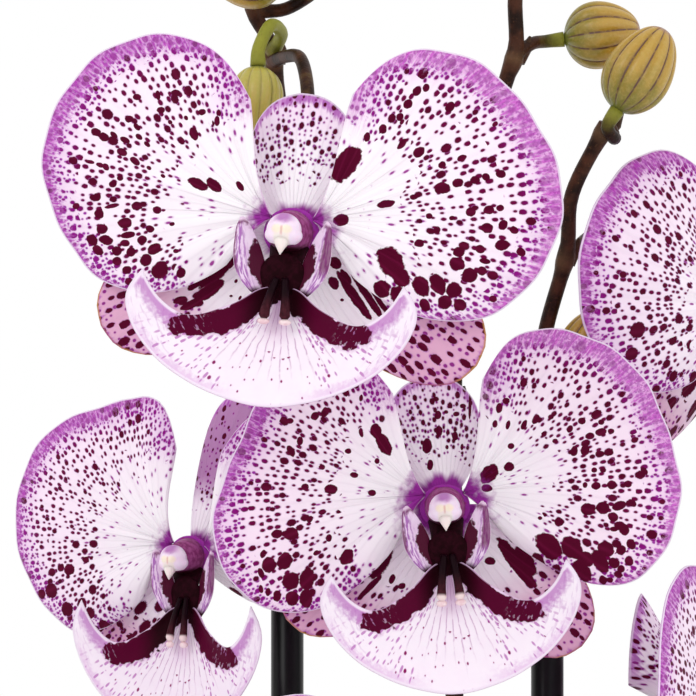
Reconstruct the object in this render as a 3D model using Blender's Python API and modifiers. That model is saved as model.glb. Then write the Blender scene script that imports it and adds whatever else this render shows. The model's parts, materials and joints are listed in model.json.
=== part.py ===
"""Potted moth orchid: large spotted blooms on three flower stems, strap leaves, bark and a pot.

Metres, +Z up. The origin is the centre of the pot's base, and the blooms face -Y.
A bloom is modelled in its own frame: x to the right, forward out of its face, z up.
"""
import math
import random

import bmesh
import bpy
from mathutils import Matrix, Vector

MM = 0.001
GAP = 0.3 * MM

# Pot and growing medium
POT_HEIGHT = 120 * MM
POT_TOP_RADIUS = 65 * MM
POT_COLLAR_HEIGHT = 22 * MM
POT_COLLAR_STEP = 2.5 * MM
POT_BASE_RADIUS = 53 * MM
POT_WALL = 4.5 * MM
POT_FLOOR = 7 * MM
POT_EDGE = 1.2 * MM
POT_THICKENING = 1 * MM
POT_STEPS = 32
MEDIUM_TOP = 107 * MM
CHIP_COUNT = 24
CHIP_SIZE = (18 * MM, 11 * MM, 6 * MM)
CHIP_RISE = 1.2 * MM
CHIP_SEED = 11
CHIP_VARIATION = (0.8, 1.25)
CHIP_TILT = 0.3
CHIP_MARGIN = 15 * MM
GOLDEN_ANGLE = 137.5

# Crown, leaves and roots
CROWN_SIZE = (18 * MM, 24 * MM, 58 * MM)
CROWN_FOOT = 100 * MM
CROWN_EDGE = 3 * MM
LEAF_WIDTH = 70 * MM
LEAF_THICKNESS = 2.2 * MM
LEAF_KEEL = 0.30
LEAF_ROWS = 9
LEAF_COLUMNS = 4
LEAF_STEPS = 40
LEAF_BEND = 1.25
LEAF_FLATTENING = 0.55
LEAF_FULL_LENGTH = 190 * MM
LEAF_HOLD = 8
LEAF_OUTLINE = ((0, 0.30), (0.12, 0.42), (0.30, 0.74), (0.50, 0.96), (0.66, 1.0),
                (0.82, 0.88), (0.93, 0.60), (1.0, 0.20))
# Side, height, length, heading off the row (degrees), rise and droop (degrees)
LEAVES = {
    "leaf_left_1": (-1, 119 * MM, 205 * MM, 9, 24, 62),
    "leaf_left_2": (-1, 132 * MM, 215 * MM, -3, 41, 66),
    "leaf_left_3": (-1, 145 * MM, 165 * MM, 14, 60, 58),
    "leaf_right_1": (1, 122 * MM, 195 * MM, -7, 27, 66),
    "leaf_right_2": (1, 136 * MM, 220 * MM, -13, 46, 70),
    "leaf_right_3": (1, 149 * MM, 140 * MM, 3, 66, 48),
}
ROOT_RADIUS = 2.6 * MM
ROOT_TAPER = 0.8
ROOT_STEP = 11 * MM
ROOT_ROUTES = {
    "root_front_left": ((-4, -12.4, 117), (-4, -17, 117.5), (-9, -31, 123), (-17, -52, 128),
                        (-23, -68, 119), (-25, -72, 102), (-31, -75, 86)),
    "root_front_right": ((4.5, -12.4, 120), (4.5, -17, 120), (13, -31, 127), (24, -50, 128),
                         (33, -65, 122), (37, -71, 106), (35, -76, 90), (40, -78, 79)),
    "root_short": ((-0.5, -12.4, 128), (-0.5, -17, 128.5), (1, -26, 127), (3, -38, 120),
                   (2, -46, 115.5)),
    "root_back": ((0.5, 12.4, 116), (0.5, 17, 116.5), (-2, 31, 122), (-6, 52, 128),
                  (-9, 67, 122), (-8, 74, 106), (-12, 78, 92)),
}

# Support stakes and their clips
STAKE_RADIUS = 3.6 * MM
STAKE_FOOT = 34 * MM
STAKE_TOP = 500 * MM
STAKES = {"stake_left": (-28.4 * MM, 36 * MM), "stake_right": (29.0 * MM, 36 * MM)}
CLIP_WALL = 1.1 * MM
CLIP_HEIGHT = 6 * MM
CLIP_SIDES = 8
CLIP_PITCH = 7.4 * MM
CLIP_HEIGHTS = (245 * MM, 385 * MM)

# Blades of a bloom: radius of the outline by angle from the blade's root
BLADE_THICKNESS = 0.9 * MM
PETAL_ROOT = (4.2 * MM, 3 * MM)
PETAL_OUTLINE = ((-56, 14 * MM), (-40, 28 * MM), (-25, 38 * MM), (-10, 45 * MM), (5, 49.5 * MM),
                 (20, 51 * MM), (35, 49 * MM), (50, 44.8 * MM), (61, 40 * MM), (69, 33.5 * MM),
                 (76, 24 * MM))
PETAL_RECURVE = 6 * MM
PETAL_BULGE = 1.8 * MM
PETAL_ROWS = 3
PETAL_COLUMNS = 8
DORSAL_OUTLINE = ((0, 29.5 * MM), (10, 28.7 * MM), (18, 26.2 * MM), (25, 22.6 * MM),
                  (31, 18 * MM), (35, 12 * MM))
LATERAL_OUTLINE = ((0, 45 * MM), (7, 43.8 * MM), (14, 39 * MM), (20, 33 * MM),
                   (26, 25.5 * MM), (31, 16 * MM))
LATERAL_HEADING = 32
SEPAL_ROWS = 3
DORSAL_COLUMNS = 6
LATERAL_COLUMNS = 4
SEPAL_BACK = 1.8 * MM
DORSAL_RECURVE = 15 * MM
LATERAL_RECURVE = 6.5 * MM
SEPAL_LEAN = 1.4
MARGIN_WAVE = 0.7 * MM
PETAL_WAVES = 7
SEPAL_WAVES = 4
PETAL_FORWARD = 0.8 * MM
PETAL_GATHER = 0.28
SEPAL_SPREAD = 0.25
PETAL_START = 0.05
SEPAL_START = 0.04
LIP_START = 0.08
SEED_PHASE = 1.7

# Column, its foot, and the neck behind the bloom
NECK_FRONT = 1.2 * MM
NECK_BACK = 8 * MM
NECK_RADII = (6.6 * MM, 2.2 * MM)
COLUMN_RADIUS = 2.9 * MM
COLUMN_REACH = 8.5 * MM
CAP_RADIUS = 3.3 * MM
CAP_STRETCH = 1.08
ROUND_SIDES = 8
ROOT_SWELL = 1.15
FACE_FORWARD = 9 * MM
FOOT_START = (1 * MM, -3 * MM)
FOOT_LEAN = 57
FOOT_LENGTH = 7 * MM
FOOT_RADIUS = 2.5 * MM

# Lip: outline by angle from straight down, and the edge's angle along its length
LIP_THROAT = (7 * MM, -11 * MM)
LIP_OUTLINE = ((0, 23.4 * MM), (20, 23.6 * MM), (40, 25 * MM), (58, 27.2 * MM), (74, 29 * MM),
               (84, 29 * MM), (94, 26 * MM))
LIP_EDGE = ((0, 100), (0.12, 86), (0.28, 69), (0.5, 66), (0.7, 69), (0.86, 80), (1, 94))
LIP_REACH = 15 * MM
LIP_DROOP = 3.5 * MM
LIP_DISH = 2.6 * MM
LIP_ROWS = 4
LIP_COLUMNS = 8
CLAW_LENGTH = 3.4 * MM
CLAW_RADIUS = 2.2 * MM
WING_FOOT = -12.5 * MM
WING_TOP = 1.5 * MM
WING_REACH = (5.5 * MM, 12 * MM)
WING_OFFSET = 4.7 * MM
WING_BOW = 3.2 * MM
WING_FLARE = 1.4 * MM
WING_NARROWING = 0.45
WING_CURL = 2.2
WING_GRID = (3, 2)
PRONG_RADIUS = 1.25 * MM
PRONG_ROOT = (1.4 * MM, 7.5 * MM, -10 * MM)
PRONG_TIP = (2.1 * MM, 12.5 * MM, -16.5 * MM)
PRONG_TAPER = 0.7

# Where each bloom's face is (millimetres), how it turns, nods and rolls (degrees), its size,
# how far its lip droops (degrees) and its seed
BLOOMS = {
    "bloom_a": ((-27.3, -55, 552.2), -9, 0, 4, 0.97, 0, 1),
    "bloom_b": ((4.8, -15, 496.9), -2, 1, -4, 0.915, 12, 2),
    "bloom_c": ((-54.6, 23, 482.7), -25, 3, 0, 0.88, 0, 3),
    "bloom_d": ((83.0, 38.6, 535.5), 47, 0, -2, 1.0, 0, 4),
    "bloom_e": ((71.2, 28, 447), 77, 3, 2, 0.94, 0, 5),
    "bloom_g": ((-2, -6, 420), 2, 6, 4, 0.92, 6, 6),
    "bloom_h": ((-78, -22, 402), -30, 6, -5, 0.96, 6, 7),
}

# Buds: base, heading of the axis, length and radius
BUD_RIDGES = 6
BUD_RIDGE_DEPTH = 0.05
BUD_TAPER = 0.10
BUD_SIDES = 12
BUD_RINGS = 7
BUDS = {
    "bud_middle_1": ((31.8, 22, 596.8), (0.99, 0.0, 0.12), 16.5, 7.0),
    "bud_middle_2": ((30.5, 12, 622.5), (0.55, -0.2, 0.80), 13.5, 5.4),
    "bud_middle_3": ((18.0, 15, 640.5), (-0.45, -0.1, 0.90), 11.0, 4.3),
    "bud_right_1": ((41.8, 6, 580.2), (0.50, 0.05, 0.86), 20.0, 6.9),
    "bud_right_2": ((33.6, 25, 525.5), (0.45, -0.05, 0.88), 14.0, 5.2),
    "bud_left_1": ((-27.6, -1, 608.0), (-0.99, 0.0, 0.08), 17.0, 7.4),
    "bud_left_2": ((-33.6, -8, 588.2), (-0.05, -0.15, -0.98), 15.0, 5.3),
    "bud_left_3": ((-26.0, 11, 622.0), (0.35, -0.1, 0.93), 12.5, 4.9),
}

# Flower stems: route of the main stem, its nodes, and the side stalks (millimetres)
STEM_RADII = (2.7, 1.55)
STALK_RADIUS = 1.45
NODE_SWELL = 1.32
NODE_LENGTH = 2.2
STEM_STEP = 26 * MM
STALK_STEP = 9 * MM
STALK_END = 4 * MM
STEMS = {
    "flower_stem_left": dict(
        route=((-6, 12.4, 128), (-6, 16.5, 128), (-9, 27, 141), (-15, 37, 163), (-24, 42.2, 198),
               (-28.4, 43.4, 245), (-28.4, 43.4, 385), (-28.4, 43.4, 480), (-28, 42, 507),
               (-27.6, 32, 533), (-28, 21, 562), (-31, 11, 592), (-35, 9, 602), (-34, 10, 616)),
        nodes=(160, 270, 410, 497, 591, 603),
        blooms={"bloom_a": ((-31, 11, 591), (-25, -8, 590), (-23, -22, 578), (-24, -38, 558)),
                "bloom_c": ((-28.2, 42, 498), (-34, 48, 502), (-43, 48, 493)),
                "bloom_h": ((-28.4, 43.4, 412), (-38, 45, 424), (-56, 27, 420), (-69, -1, 406))},
        buds={"bud_left_1": ((-34.8, 9.2, 601.5), (-28, 9, 602), (-21, 3, 606)),
              "bud_left_2": ((-31, 10, 593), (-29, 3, 596), (-31, -5, 597)),
              "bud_left_3": ((-34, 10, 615), (-31, 11, 617))}),
    "flower_stem_middle": dict(
        route=((0, 12.4, 137), (0, 16.5, 137), (0.5, 24, 148), (2, 31, 172), (5, 33, 220),
               (8, 30, 300), (8.5, 26, 400), (8, 25, 480), (8.5, 22, 533), (13, 19, 565),
               (18.5, 17, 586), (21, 16, 594), (20.8, 15, 606), (22.5, 15, 622), (20.5, 15, 634)),
        nodes=(180, 300, 424, 516, 592, 621),
        blooms={"bloom_b": ((8.4, 23, 516), (8, 17, 516), (7, 11, 506)),
                "bloom_g": ((8.4, 25.6, 424), (6, 21, 428))},
        buds={"bud_middle_1": ((20.8, 16, 592.5), (24.5, 19, 595.5)),
              "bud_middle_2": ((22, 15, 620), (26.5, 13.5, 618)),
              "bud_middle_3": ((20.5, 15, 633.0), (20.4, 15, 634.5))}),
    "flower_stem_right": dict(
        route=((6, 12.4, 128), (6, 16.5, 128), (9, 27, 141), (15, 37, 163), (24.5, 42.2, 198),
               (29, 43.4, 245), (29, 43.4, 385), (29, 43.4, 480), (28.2, 41, 507),
               (27.5, 28, 530), (32, 19, 550), (33, 15, 563), (40, 10, 577.5)),
        nodes=(155, 265, 405, 441, 521, 549, 576),
        blooms={"bloom_d": ((32, 19, 549), (41, 36, 556), (55, 61, 552), (63, 63, 542)),
                "bloom_e": ((29, 43.4, 441), (38, 43, 448), (47, 37, 449))},
        buds={"bud_right_1": ((40, 10, 577.4), (41.5, 9, 574.5)),
              "bud_right_2": ((28.0, 33, 522), (30, 28, 519))}),
}

MATERIALS = {
    "ceramic": ((0.78, 0.76, 0.72), 0.35),
    "bark": ((0.16, 0.08, 0.04), 0.9),
    "leaf": ((0.06, 0.16, 0.04), 0.4),
    "crown": ((0.20, 0.28, 0.10), 0.55),
    "root": ((0.42, 0.47, 0.38), 0.8),
    "stem": ((0.075, 0.035, 0.025), 0.5),
    "bud": ((0.30, 0.25, 0.06), 0.5),
    "petal": ((0.80, 0.52, 0.76), 0.5),
    "lip": ((0.68, 0.30, 0.62), 0.45),
    "stake": ((0.01, 0.012, 0.014), 0.35),
    "clip": ((0.02, 0.05, 0.02), 0.4),
}


def clear_scene():
    for leftover in list(bpy.data.objects):
        bpy.data.objects.remove(leftover, do_unlink=True)


def new_collection(name, hidden=False):
    collection = bpy.data.collections.new(name)
    bpy.context.scene.collection.children.link(collection)
    collection.hide_render = hidden
    return collection


def make_materials():
    made = {}
    for name, (colour, roughness) in MATERIALS.items():
        material = bpy.data.materials.new(name)
        material.use_nodes = True
        shader = material.node_tree.nodes["Principled BSDF"]
        shader.inputs["Base Color"].default_value = (*colour, 1.0)
        shader.inputs["Roughness"].default_value = roughness
        shader.inputs["Metallic"].default_value = 0.0
        material.diffuse_color = (*colour, 1.0)
        made[name] = material
    return made


def smooth_value(pairs, x):
    """Height at x of a smooth curve through (x, height) pairs."""
    x = min(max(x, pairs[0][0]), pairs[-1][0])
    index = 0
    while index < len(pairs) - 2 and x > pairs[index + 1][0]:
        index += 1

    def slope(i):
        low = pairs[max(i - 1, 0)]
        high = pairs[min(i + 1, len(pairs) - 1)]
        return (high[1] - low[1]) / (high[0] - low[0])

    x0, y0 = pairs[index]
    x1, y1 = pairs[index + 1]
    span = x1 - x0
    u = (x - x0) / span
    return ((2 * u ** 3 - 3 * u ** 2 + 1) * y0 + (u ** 3 - 2 * u ** 2 + u) * span * slope(index)
            + (3 * u ** 2 - 2 * u ** 3) * y1 + (u ** 3 - u ** 2) * span * slope(index + 1))


def smooth_route(points, step):
    """Points about one step apart on a smooth curve through the given points."""
    points = [Vector(p) for p in points]
    ends = [2 * points[0] - points[1]] + points + [2 * points[-1] - points[-2]]
    route = [points[0]]
    for i in range(1, len(ends) - 2):
        before, start, end, after = ends[i - 1:i + 3]
        parts = max(1, round((end - start).length / step))
        for k in range(1, parts + 1):
            u = k / parts
            route.append(0.5 * (2 * start + (end - before) * u
                                + (2 * before - 5 * start + 4 * end - after) * u ** 2
                                + (3 * start - before - 3 * end + after) * u ** 3))
    return route


def link(obj, collection, material):
    collection.objects.link(obj)
    obj.data.materials.clear()
    obj.data.materials.append(material)
    return obj


def scratch_object(name, mesh):
    obj = bpy.data.objects.new(name, mesh)
    bpy.context.scene.collection.objects.link(obj)
    return obj


def evaluated_mesh(obj):
    """The object's mesh with its modifiers applied, in world space and welded."""
    bpy.context.view_layer.update()
    depsgraph = bpy.context.evaluated_depsgraph_get()
    mesh = bpy.data.meshes.new_from_object(obj.evaluated_get(depsgraph), depsgraph=depsgraph)
    mesh.transform(obj.matrix_world)
    mesh.materials.clear()
    work = bmesh.new()
    work.from_mesh(mesh)
    bmesh.ops.remove_doubles(work, verts=work.verts, dist=1e-6)
    work.to_mesh(mesh)
    work.free()
    return mesh


def baked(obj):
    """A plain mesh object in place of one with modifiers or a curve."""
    mesh = evaluated_mesh(obj)
    name = obj.name
    bpy.data.objects.remove(obj, do_unlink=True)
    return scratch_object(name, mesh)


def combined(name, pieces, operation="UNION", solver="EXACT"):
    """One mesh from the first piece and the rest, which are removed."""
    base = pieces[0]
    group = bpy.data.collections.new(name + "_pieces")
    bpy.context.scene.collection.children.link(group)
    for piece in pieces[1:]:
        group.objects.link(piece)
    cut = base.modifiers.new("combine", "BOOLEAN")
    cut.operation = operation
    cut.operand_type = "COLLECTION"
    cut.collection = group
    cut.solver = solver
    mesh = evaluated_mesh(base)
    for piece in pieces:
        bpy.data.objects.remove(piece, do_unlink=True)
    bpy.data.collections.remove(group)
    mesh.name = name
    return mesh


def sheet(name, surface, rows, columns, thickness):
    """A thin solid over surface(s, t), s from 0 to 1 and t from -1 to 1."""
    work = bmesh.new()
    grid = []
    for i in range(rows + 1):
        grid.append([work.verts.new(surface(i / rows, 2 * j / columns - 1))
                     for j in range(columns + 1)])
    for i in range(rows):
        for j in range(columns):
            a, b = grid[i][j], grid[i][j + 1]
            c, d = grid[i + 1][j + 1], grid[i + 1][j]
            if 2 * j < columns:
                work.faces.new((a, b, c))
                work.faces.new((a, c, d))
            else:
                work.faces.new((a, b, d))
                work.faces.new((b, c, d))
    mesh = bpy.data.meshes.new(name)
    work.to_mesh(mesh)
    work.free()
    obj = scratch_object(name, mesh)
    thicken = obj.modifiers.new("thickness", "SOLIDIFY")
    thicken.thickness = thickness
    thicken.offset = 0
    return baked(obj)


def round_bar(name, start, end, radii, sides):
    """A straight tapered bar between two points."""
    start, end = Vector(start), Vector(end)
    work = bmesh.new()
    bmesh.ops.create_cone(work, cap_ends=True, segments=sides, radius1=radii[0], radius2=radii[1],
                          depth=(end - start).length)
    turn = (end - start).to_track_quat("Z", "Y").to_matrix().to_4x4()
    bmesh.ops.transform(work, matrix=Matrix.Translation((start + end) / 2) @ turn, verts=work.verts)
    mesh = bpy.data.meshes.new(name)
    work.to_mesh(mesh)
    work.free()
    return scratch_object(name, mesh)


def ball(name, centre, heading, radii, segments, rings):
    """An ellipsoid whose long axis lies along the heading."""
    work = bmesh.new()
    bmesh.ops.create_uvsphere(work, u_segments=segments, v_segments=rings, radius=1)
    size = Matrix.Diagonal((radii[0], radii[0], radii[1], 1))
    turn = Vector(heading).to_track_quat("Z", "Y").to_matrix().to_4x4()
    bmesh.ops.transform(work, matrix=Matrix.Translation(centre) @ turn @ size, verts=work.verts)
    mesh = bpy.data.meshes.new(name)
    work.to_mesh(mesh)
    work.free()
    return scratch_object(name, mesh)


def tube(name, route, radii, resolution):
    """A round tube along the route, tapered evenly between two radii."""
    curve = bpy.data.curves.new(name, "CURVE")
    curve.dimensions = "3D"
    curve.bevel_depth = 1
    curve.bevel_resolution = resolution
    curve.render_resolution_u = 0
    curve.use_fill_caps = True
    spline = curve.splines.new("POLY")
    spline.points.add(len(route) - 1)
    for i, (point, place) in enumerate(zip(spline.points, route)):
        point.co = (*place, 1)
        point.radius = radii[0] + (radii[1] - radii[0]) * i / (len(route) - 1)
    return baked(scratch_object(name, curve))


def forward_point(x, forward, z):
    """A point of a bloom's own frame, whose face looks along -Y."""
    return Vector((x, -forward, z))


def petal_surface(side, phase):
    low, high = PETAL_OUTLINE[0][0], PETAL_OUTLINE[-1][0]
    middle, half = (low + high) / 2, (high - low) / 2

    def surface(s, t):
        s = PETAL_START + (1 - PETAL_START) * s
        reach = s * smooth_value(PETAL_OUTLINE, middle + half * t)
        angle = math.radians(middle + half * t * (1 - PETAL_GATHER * (1 - s) ** 2))
        forward = (PETAL_FORWARD + PETAL_BULGE * math.sin(math.pi * s)
                   - PETAL_RECURVE * s ** 2 * (1 - t ** 2)
                   + MARGIN_WAVE * s ** 3 * math.sin(PETAL_WAVES * t + phase))
        x = PETAL_ROOT[0] + reach * math.cos(angle)
        return forward_point(side * x, forward, PETAL_ROOT[1] + reach * math.sin(angle))
    return surface


def sepal_surface(outline, heading, recurve, phase):
    half = outline[-1][0]

    def surface(s, t):
        s = SEPAL_START + (1 - SEPAL_START) * s
        reach = s * smooth_value(outline, abs(half * t))
        angle = math.radians(heading - half * t * (1 + SEPAL_SPREAD * (1 - s)))
        forward = (-SEPAL_BACK - recurve * s ** SEPAL_LEAN
                   + 0.5 * MARGIN_WAVE * s ** 3 * math.sin(SEPAL_WAVES * t + phase))
        return forward_point(reach * math.cos(angle), forward, reach * math.sin(angle))
    return surface


def lip_surface(s, t):
    s = LIP_START + (1 - LIP_START) * s
    tip = LIP_EDGE[-1][1]
    reach = s * smooth_value(LIP_OUTLINE, abs(tip * t))
    angle = math.radians(smooth_value(LIP_EDGE, s) * t)
    forward = (LIP_THROAT[0] + LIP_REACH * s - LIP_DROOP * s ** 2
               - LIP_DISH * math.sin(math.pi * s) * (1 - t ** 2))
    return forward_point(reach * math.sin(angle), forward, LIP_THROAT[1] - reach * math.cos(angle))


def wing_surface(side):
    def surface(s, t):
        share = 0.5 + 0.5 * t * (1 - WING_NARROWING * s)
        forward = WING_REACH[0] + (WING_REACH[1] - WING_REACH[0]) * share
        x = WING_OFFSET + WING_BOW * math.sin(WING_CURL * s) + WING_FLARE * (0.5 + 0.5 * t) * s
        return forward_point(side * x, forward, WING_FOOT + (WING_TOP - WING_FOOT) * s)
    return surface


def foot_points():
    """Start and end of the column's foot, and the way that it points."""
    lean = math.radians(FOOT_LEAN)
    way = forward_point(0, math.cos(lean), -math.sin(lean))
    start = forward_point(0, FOOT_START[0], FOOT_START[1])
    return start, start + way * FOOT_LENGTH, way


def tepal_mesh(name, phase):
    """Two petals, three sepals and the column, grown together."""
    start, end, _ = foot_points()
    pieces = [
        round_bar("neck", forward_point(0, -NECK_BACK, 0), forward_point(0, NECK_FRONT, 0),
                  (NECK_RADII[1], NECK_RADII[0]), 12),
        sheet("dorsal", sepal_surface(DORSAL_OUTLINE, 90, DORSAL_RECURVE, phase), SEPAL_ROWS,
              DORSAL_COLUMNS, BLADE_THICKNESS),
        round_bar("column", forward_point(0, 0, 0), forward_point(0, COLUMN_REACH, 0.4 * MM),
                  (COLUMN_RADIUS * ROOT_SWELL, COLUMN_RADIUS), ROUND_SIDES),
        ball("cap", forward_point(0, FACE_FORWARD, 0.3 * MM), (0, 0, 1),
             (CAP_RADIUS, CAP_RADIUS * CAP_STRETCH), ROUND_SIDES, 6),
        round_bar("foot", start, end, (FOOT_RADIUS * ROOT_SWELL, FOOT_RADIUS), ROUND_SIDES),
    ]
    for side, heading in ((-1, 180 + LATERAL_HEADING), (1, -LATERAL_HEADING)):
        petal_phase = phase + (1 + side) / 2
        pieces.append(sheet("petal", petal_surface(side, petal_phase), PETAL_ROWS, PETAL_COLUMNS,
                            BLADE_THICKNESS))
        pieces.append(sheet("lateral", sepal_surface(LATERAL_OUTLINE, heading, LATERAL_RECURVE,
                                                     phase),
                            SEPAL_ROWS, LATERAL_COLUMNS, BLADE_THICKNESS))
    return combined(name, pieces)


def lip_mesh(name, droop):
    """The broad lip with its claw, two side lobes and two prongs."""
    _, foot_end, way = foot_points()
    claw_start = foot_end + way * GAP * 1.5
    pieces = [sheet("blade", lip_surface, LIP_ROWS, LIP_COLUMNS, BLADE_THICKNESS)]
    for side in (-1, 1):
        pieces.append(sheet("wing", wing_surface(side), *WING_GRID, BLADE_THICKNESS))
        pieces.append(round_bar("prong", forward_point(side * PRONG_ROOT[0], *PRONG_ROOT[1:]),
                                forward_point(side * PRONG_TIP[0], *PRONG_TIP[1:]),
                                (PRONG_RADIUS, PRONG_RADIUS * PRONG_TAPER), 5))
    swing = (Matrix.Translation(foot_end) @ Matrix.Rotation(math.radians(droop), 4, "X")
             @ Matrix.Translation(-foot_end))
    for piece in pieces:
        piece.data.transform(swing)
    pieces.append(round_bar("claw", claw_start, claw_start + way * CLAW_LENGTH,
                            (CLAW_RADIUS, CLAW_RADIUS), 6))
    return combined(name, pieces)


def bloom_matrix(name):
    face, turn, nod, roll, size = BLOOMS[name][:5]
    way = (Matrix.Rotation(math.radians(turn), 4, "Z") @ Matrix.Rotation(math.radians(nod), 4, "X")
           @ Matrix.Rotation(math.radians(roll), 4, "Y"))
    offset = way @ (size * forward_point(0, FACE_FORWARD, 0))
    return Matrix.Translation(Vector(face) * MM - offset) @ way @ Matrix.Scale(size, 4)


def make_blooms(parts, materials):
    for name in BLOOMS:
        droop, seed = BLOOMS[name][5:]
        matrix = bloom_matrix(name)
        for suffix, mesh, material in (
                ("tepals", tepal_mesh(name + "_tepals", SEED_PHASE * seed), "petal"),
                ("lip", lip_mesh(name + "_lip", droop), "lip")):
            mesh.transform(matrix)
            obj = bpy.data.objects.new(name + "_" + suffix, mesh)
            link(obj, parts, materials[material])


def bud_mesh(name, length, radius):
    """A plump closed bud with lengthwise ridges, its base at the origin and its tip up +Z."""
    work = bmesh.new()
    bmesh.ops.create_uvsphere(work, u_segments=BUD_SIDES, v_segments=BUD_RINGS, radius=1)
    for vert in work.verts:
        along = (vert.co.z + 1) / 2
        around = math.atan2(vert.co.y, vert.co.x)
        ridge = 1 + BUD_RIDGE_DEPTH * math.cos(BUD_RIDGES * around)
        blunt = 1 + BUD_TAPER * math.cos(math.pi * along)
        vert.co.x *= radius * ridge * blunt
        vert.co.y *= radius * ridge * blunt
        vert.co.z = along * length
    mesh = bpy.data.meshes.new(name)
    work.to_mesh(mesh)
    work.free()
    mesh.shade_smooth()
    return mesh


def make_buds(parts, materials):
    for name, (base, heading, length, radius) in BUDS.items():
        obj = bpy.data.objects.new(name, bud_mesh(name, length * MM, radius * MM))
        obj.location = Vector(base) * MM
        obj.rotation_euler = Vector(heading).to_track_quat("Z", "Y").to_euler()
        link(obj, parts, materials["bud"])


def stalk_to(name, points, seat, way):
    """A stalk through the points that ends flat, a gap short of its seat."""
    end = seat + way * GAP
    route = smooth_route([Vector(p) * MM for p in points] + [end + way * STALK_END, end], STALK_STEP)
    return tube(name, route, (STALK_RADIUS * MM, STALK_RADIUS * MM), 1)


def height_on(route, height):
    """Place and direction of the route where it first reaches a height."""
    for low, high in zip(route, route[1:]):
        if low.z <= height <= high.z:
            return low.lerp(high, (height - low.z) / (high.z - low.z)), high - low
    return route[-1], route[-1] - route[-2]


def make_stems(parts, materials):
    for name, stem in STEMS.items():
        route = smooth_route([Vector(p) * MM for p in stem["route"]], STEM_STEP)
        radii = (STEM_RADII[0] * MM, STEM_RADII[1] * MM)
        pieces = [tube(name + "_main", route, radii, 1)]
        for height in stem["nodes"]:
            place, way = height_on(route, height * MM)
            share = (height * MM - route[0].z) / (route[-1].z - route[0].z)
            radius = (radii[0] + (radii[1] - radii[0]) * share) * NODE_SWELL
            pieces.append(ball("node", place, way, (radius, NODE_LENGTH * MM), 6, 3))
        for bloom, points in stem["blooms"].items():
            matrix = bloom_matrix(bloom)
            seat = matrix @ forward_point(0, -NECK_BACK, 0)
            way = (matrix.to_3x3() @ Vector((0, 1, 0))).normalized()
            pieces.append(stalk_to("stalk", points, seat, way))
        for bud, points in stem["buds"].items():
            seat = Vector(BUDS[bud][0]) * MM
            way = -Vector(BUDS[bud][1]).normalized()
            pieces.append(stalk_to("stalk", points, seat, way))
        obj = bpy.data.objects.new(name, combined(name, pieces))
        link(obj, parts, materials["stem"])


def leaf_surface(side, height, length, heading, rise, droop):
    """A strap blade that grows out of the crown's side, rises and droops, with a keel."""
    steps = LEAF_STEPS
    turn = math.radians(heading)
    out = Vector((side * math.cos(turn), side * math.sin(turn), 0))
    across = Vector((0, 0, 1)).cross(out)
    room = (1.5 * GAP + LEAF_THICKNESS / 2 * math.sin(math.radians(rise))
            + LEAF_WIDTH / 2 * LEAF_OUTLINE[0][1] * abs(math.sin(turn)))
    line = [Vector((side * (CROWN_SIZE[0] / 2 + room), 0, height))]
    slopes = []
    for i in range(steps + 1):
        slope = math.radians(rise - droop * ((i + 0.5) / steps) ** LEAF_BEND)
        slopes.append(slope)
        step = out * math.cos(slope) + Vector((0, 0, math.sin(slope)))
        line.append(line[-1] + step * length / steps)

    width = LEAF_WIDTH * min(1, length / LEAF_FULL_LENGTH)

    def surface(s, t):
        index = min(int(s * steps), steps - 1)
        middle = line[index].lerp(line[index + 1], s * steps - index)
        slope = slopes[index]
        up = Vector((0, 0, math.cos(slope))) - out * math.sin(slope)
        half = width / 2 * smooth_value(LEAF_OUTLINE, s)
        lift = LEAF_KEEL * half * abs(t) * (1 - LEAF_FLATTENING * s)
        hold = min(1, s * LEAF_HOLD)
        return middle + across * half * t + (up * lift * hold + Vector((0, 0, lift)) * (1 - hold))
    return surface


def make_leaves(parts, materials):
    for name, shape in LEAVES.items():
        obj = sheet(name, leaf_surface(*shape), LEAF_ROWS, LEAF_COLUMNS, LEAF_THICKNESS)
        mesh = obj.data
        bpy.data.objects.remove(obj, do_unlink=True)
        mesh.name = name
        link(bpy.data.objects.new(name, mesh), parts, materials["leaf"])


def make_roots(parts, materials):
    for name, points in ROOT_ROUTES.items():
        route = smooth_route([Vector(p) * MM for p in points], ROOT_STEP)
        piece = tube(name, route, (ROOT_RADIUS, ROOT_RADIUS * ROOT_TAPER), 1)
        bpy.context.scene.collection.objects.unlink(piece)
        link(piece, parts, materials["root"])


def turned(name, profile, steps):
    """A closed turned solid from an open profile that starts and ends on the axis."""
    work = bmesh.new()
    verts = [work.verts.new((radius, 0, z)) for radius, z in profile]
    for low, high in zip(verts, verts[1:]):
        work.edges.new((low, high))
    mesh = bpy.data.meshes.new(name)
    work.to_mesh(mesh)
    work.free()
    obj = scratch_object(name, mesh)
    screw = obj.modifiers.new("turn", "SCREW")
    screw.steps = steps
    screw.render_steps = steps
    screw.use_merge_vertices = True
    screw.merge_threshold = 0.00001
    return baked(obj)


def wall_radius(z):
    """Radius of the pot's tapered outer wall at a height."""
    top = POT_HEIGHT - POT_COLLAR_HEIGHT
    return POT_BASE_RADIUS + (POT_TOP_RADIUS - POT_COLLAR_STEP - POT_BASE_RADIUS) * z / top


def inner_radius(z):
    share = (z - POT_FLOOR) / (POT_HEIGHT - POT_FLOOR)
    bottom = POT_BASE_RADIUS - POT_WALL
    return bottom + (POT_TOP_RADIUS - POT_WALL - POT_THICKENING - bottom) * share


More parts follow.
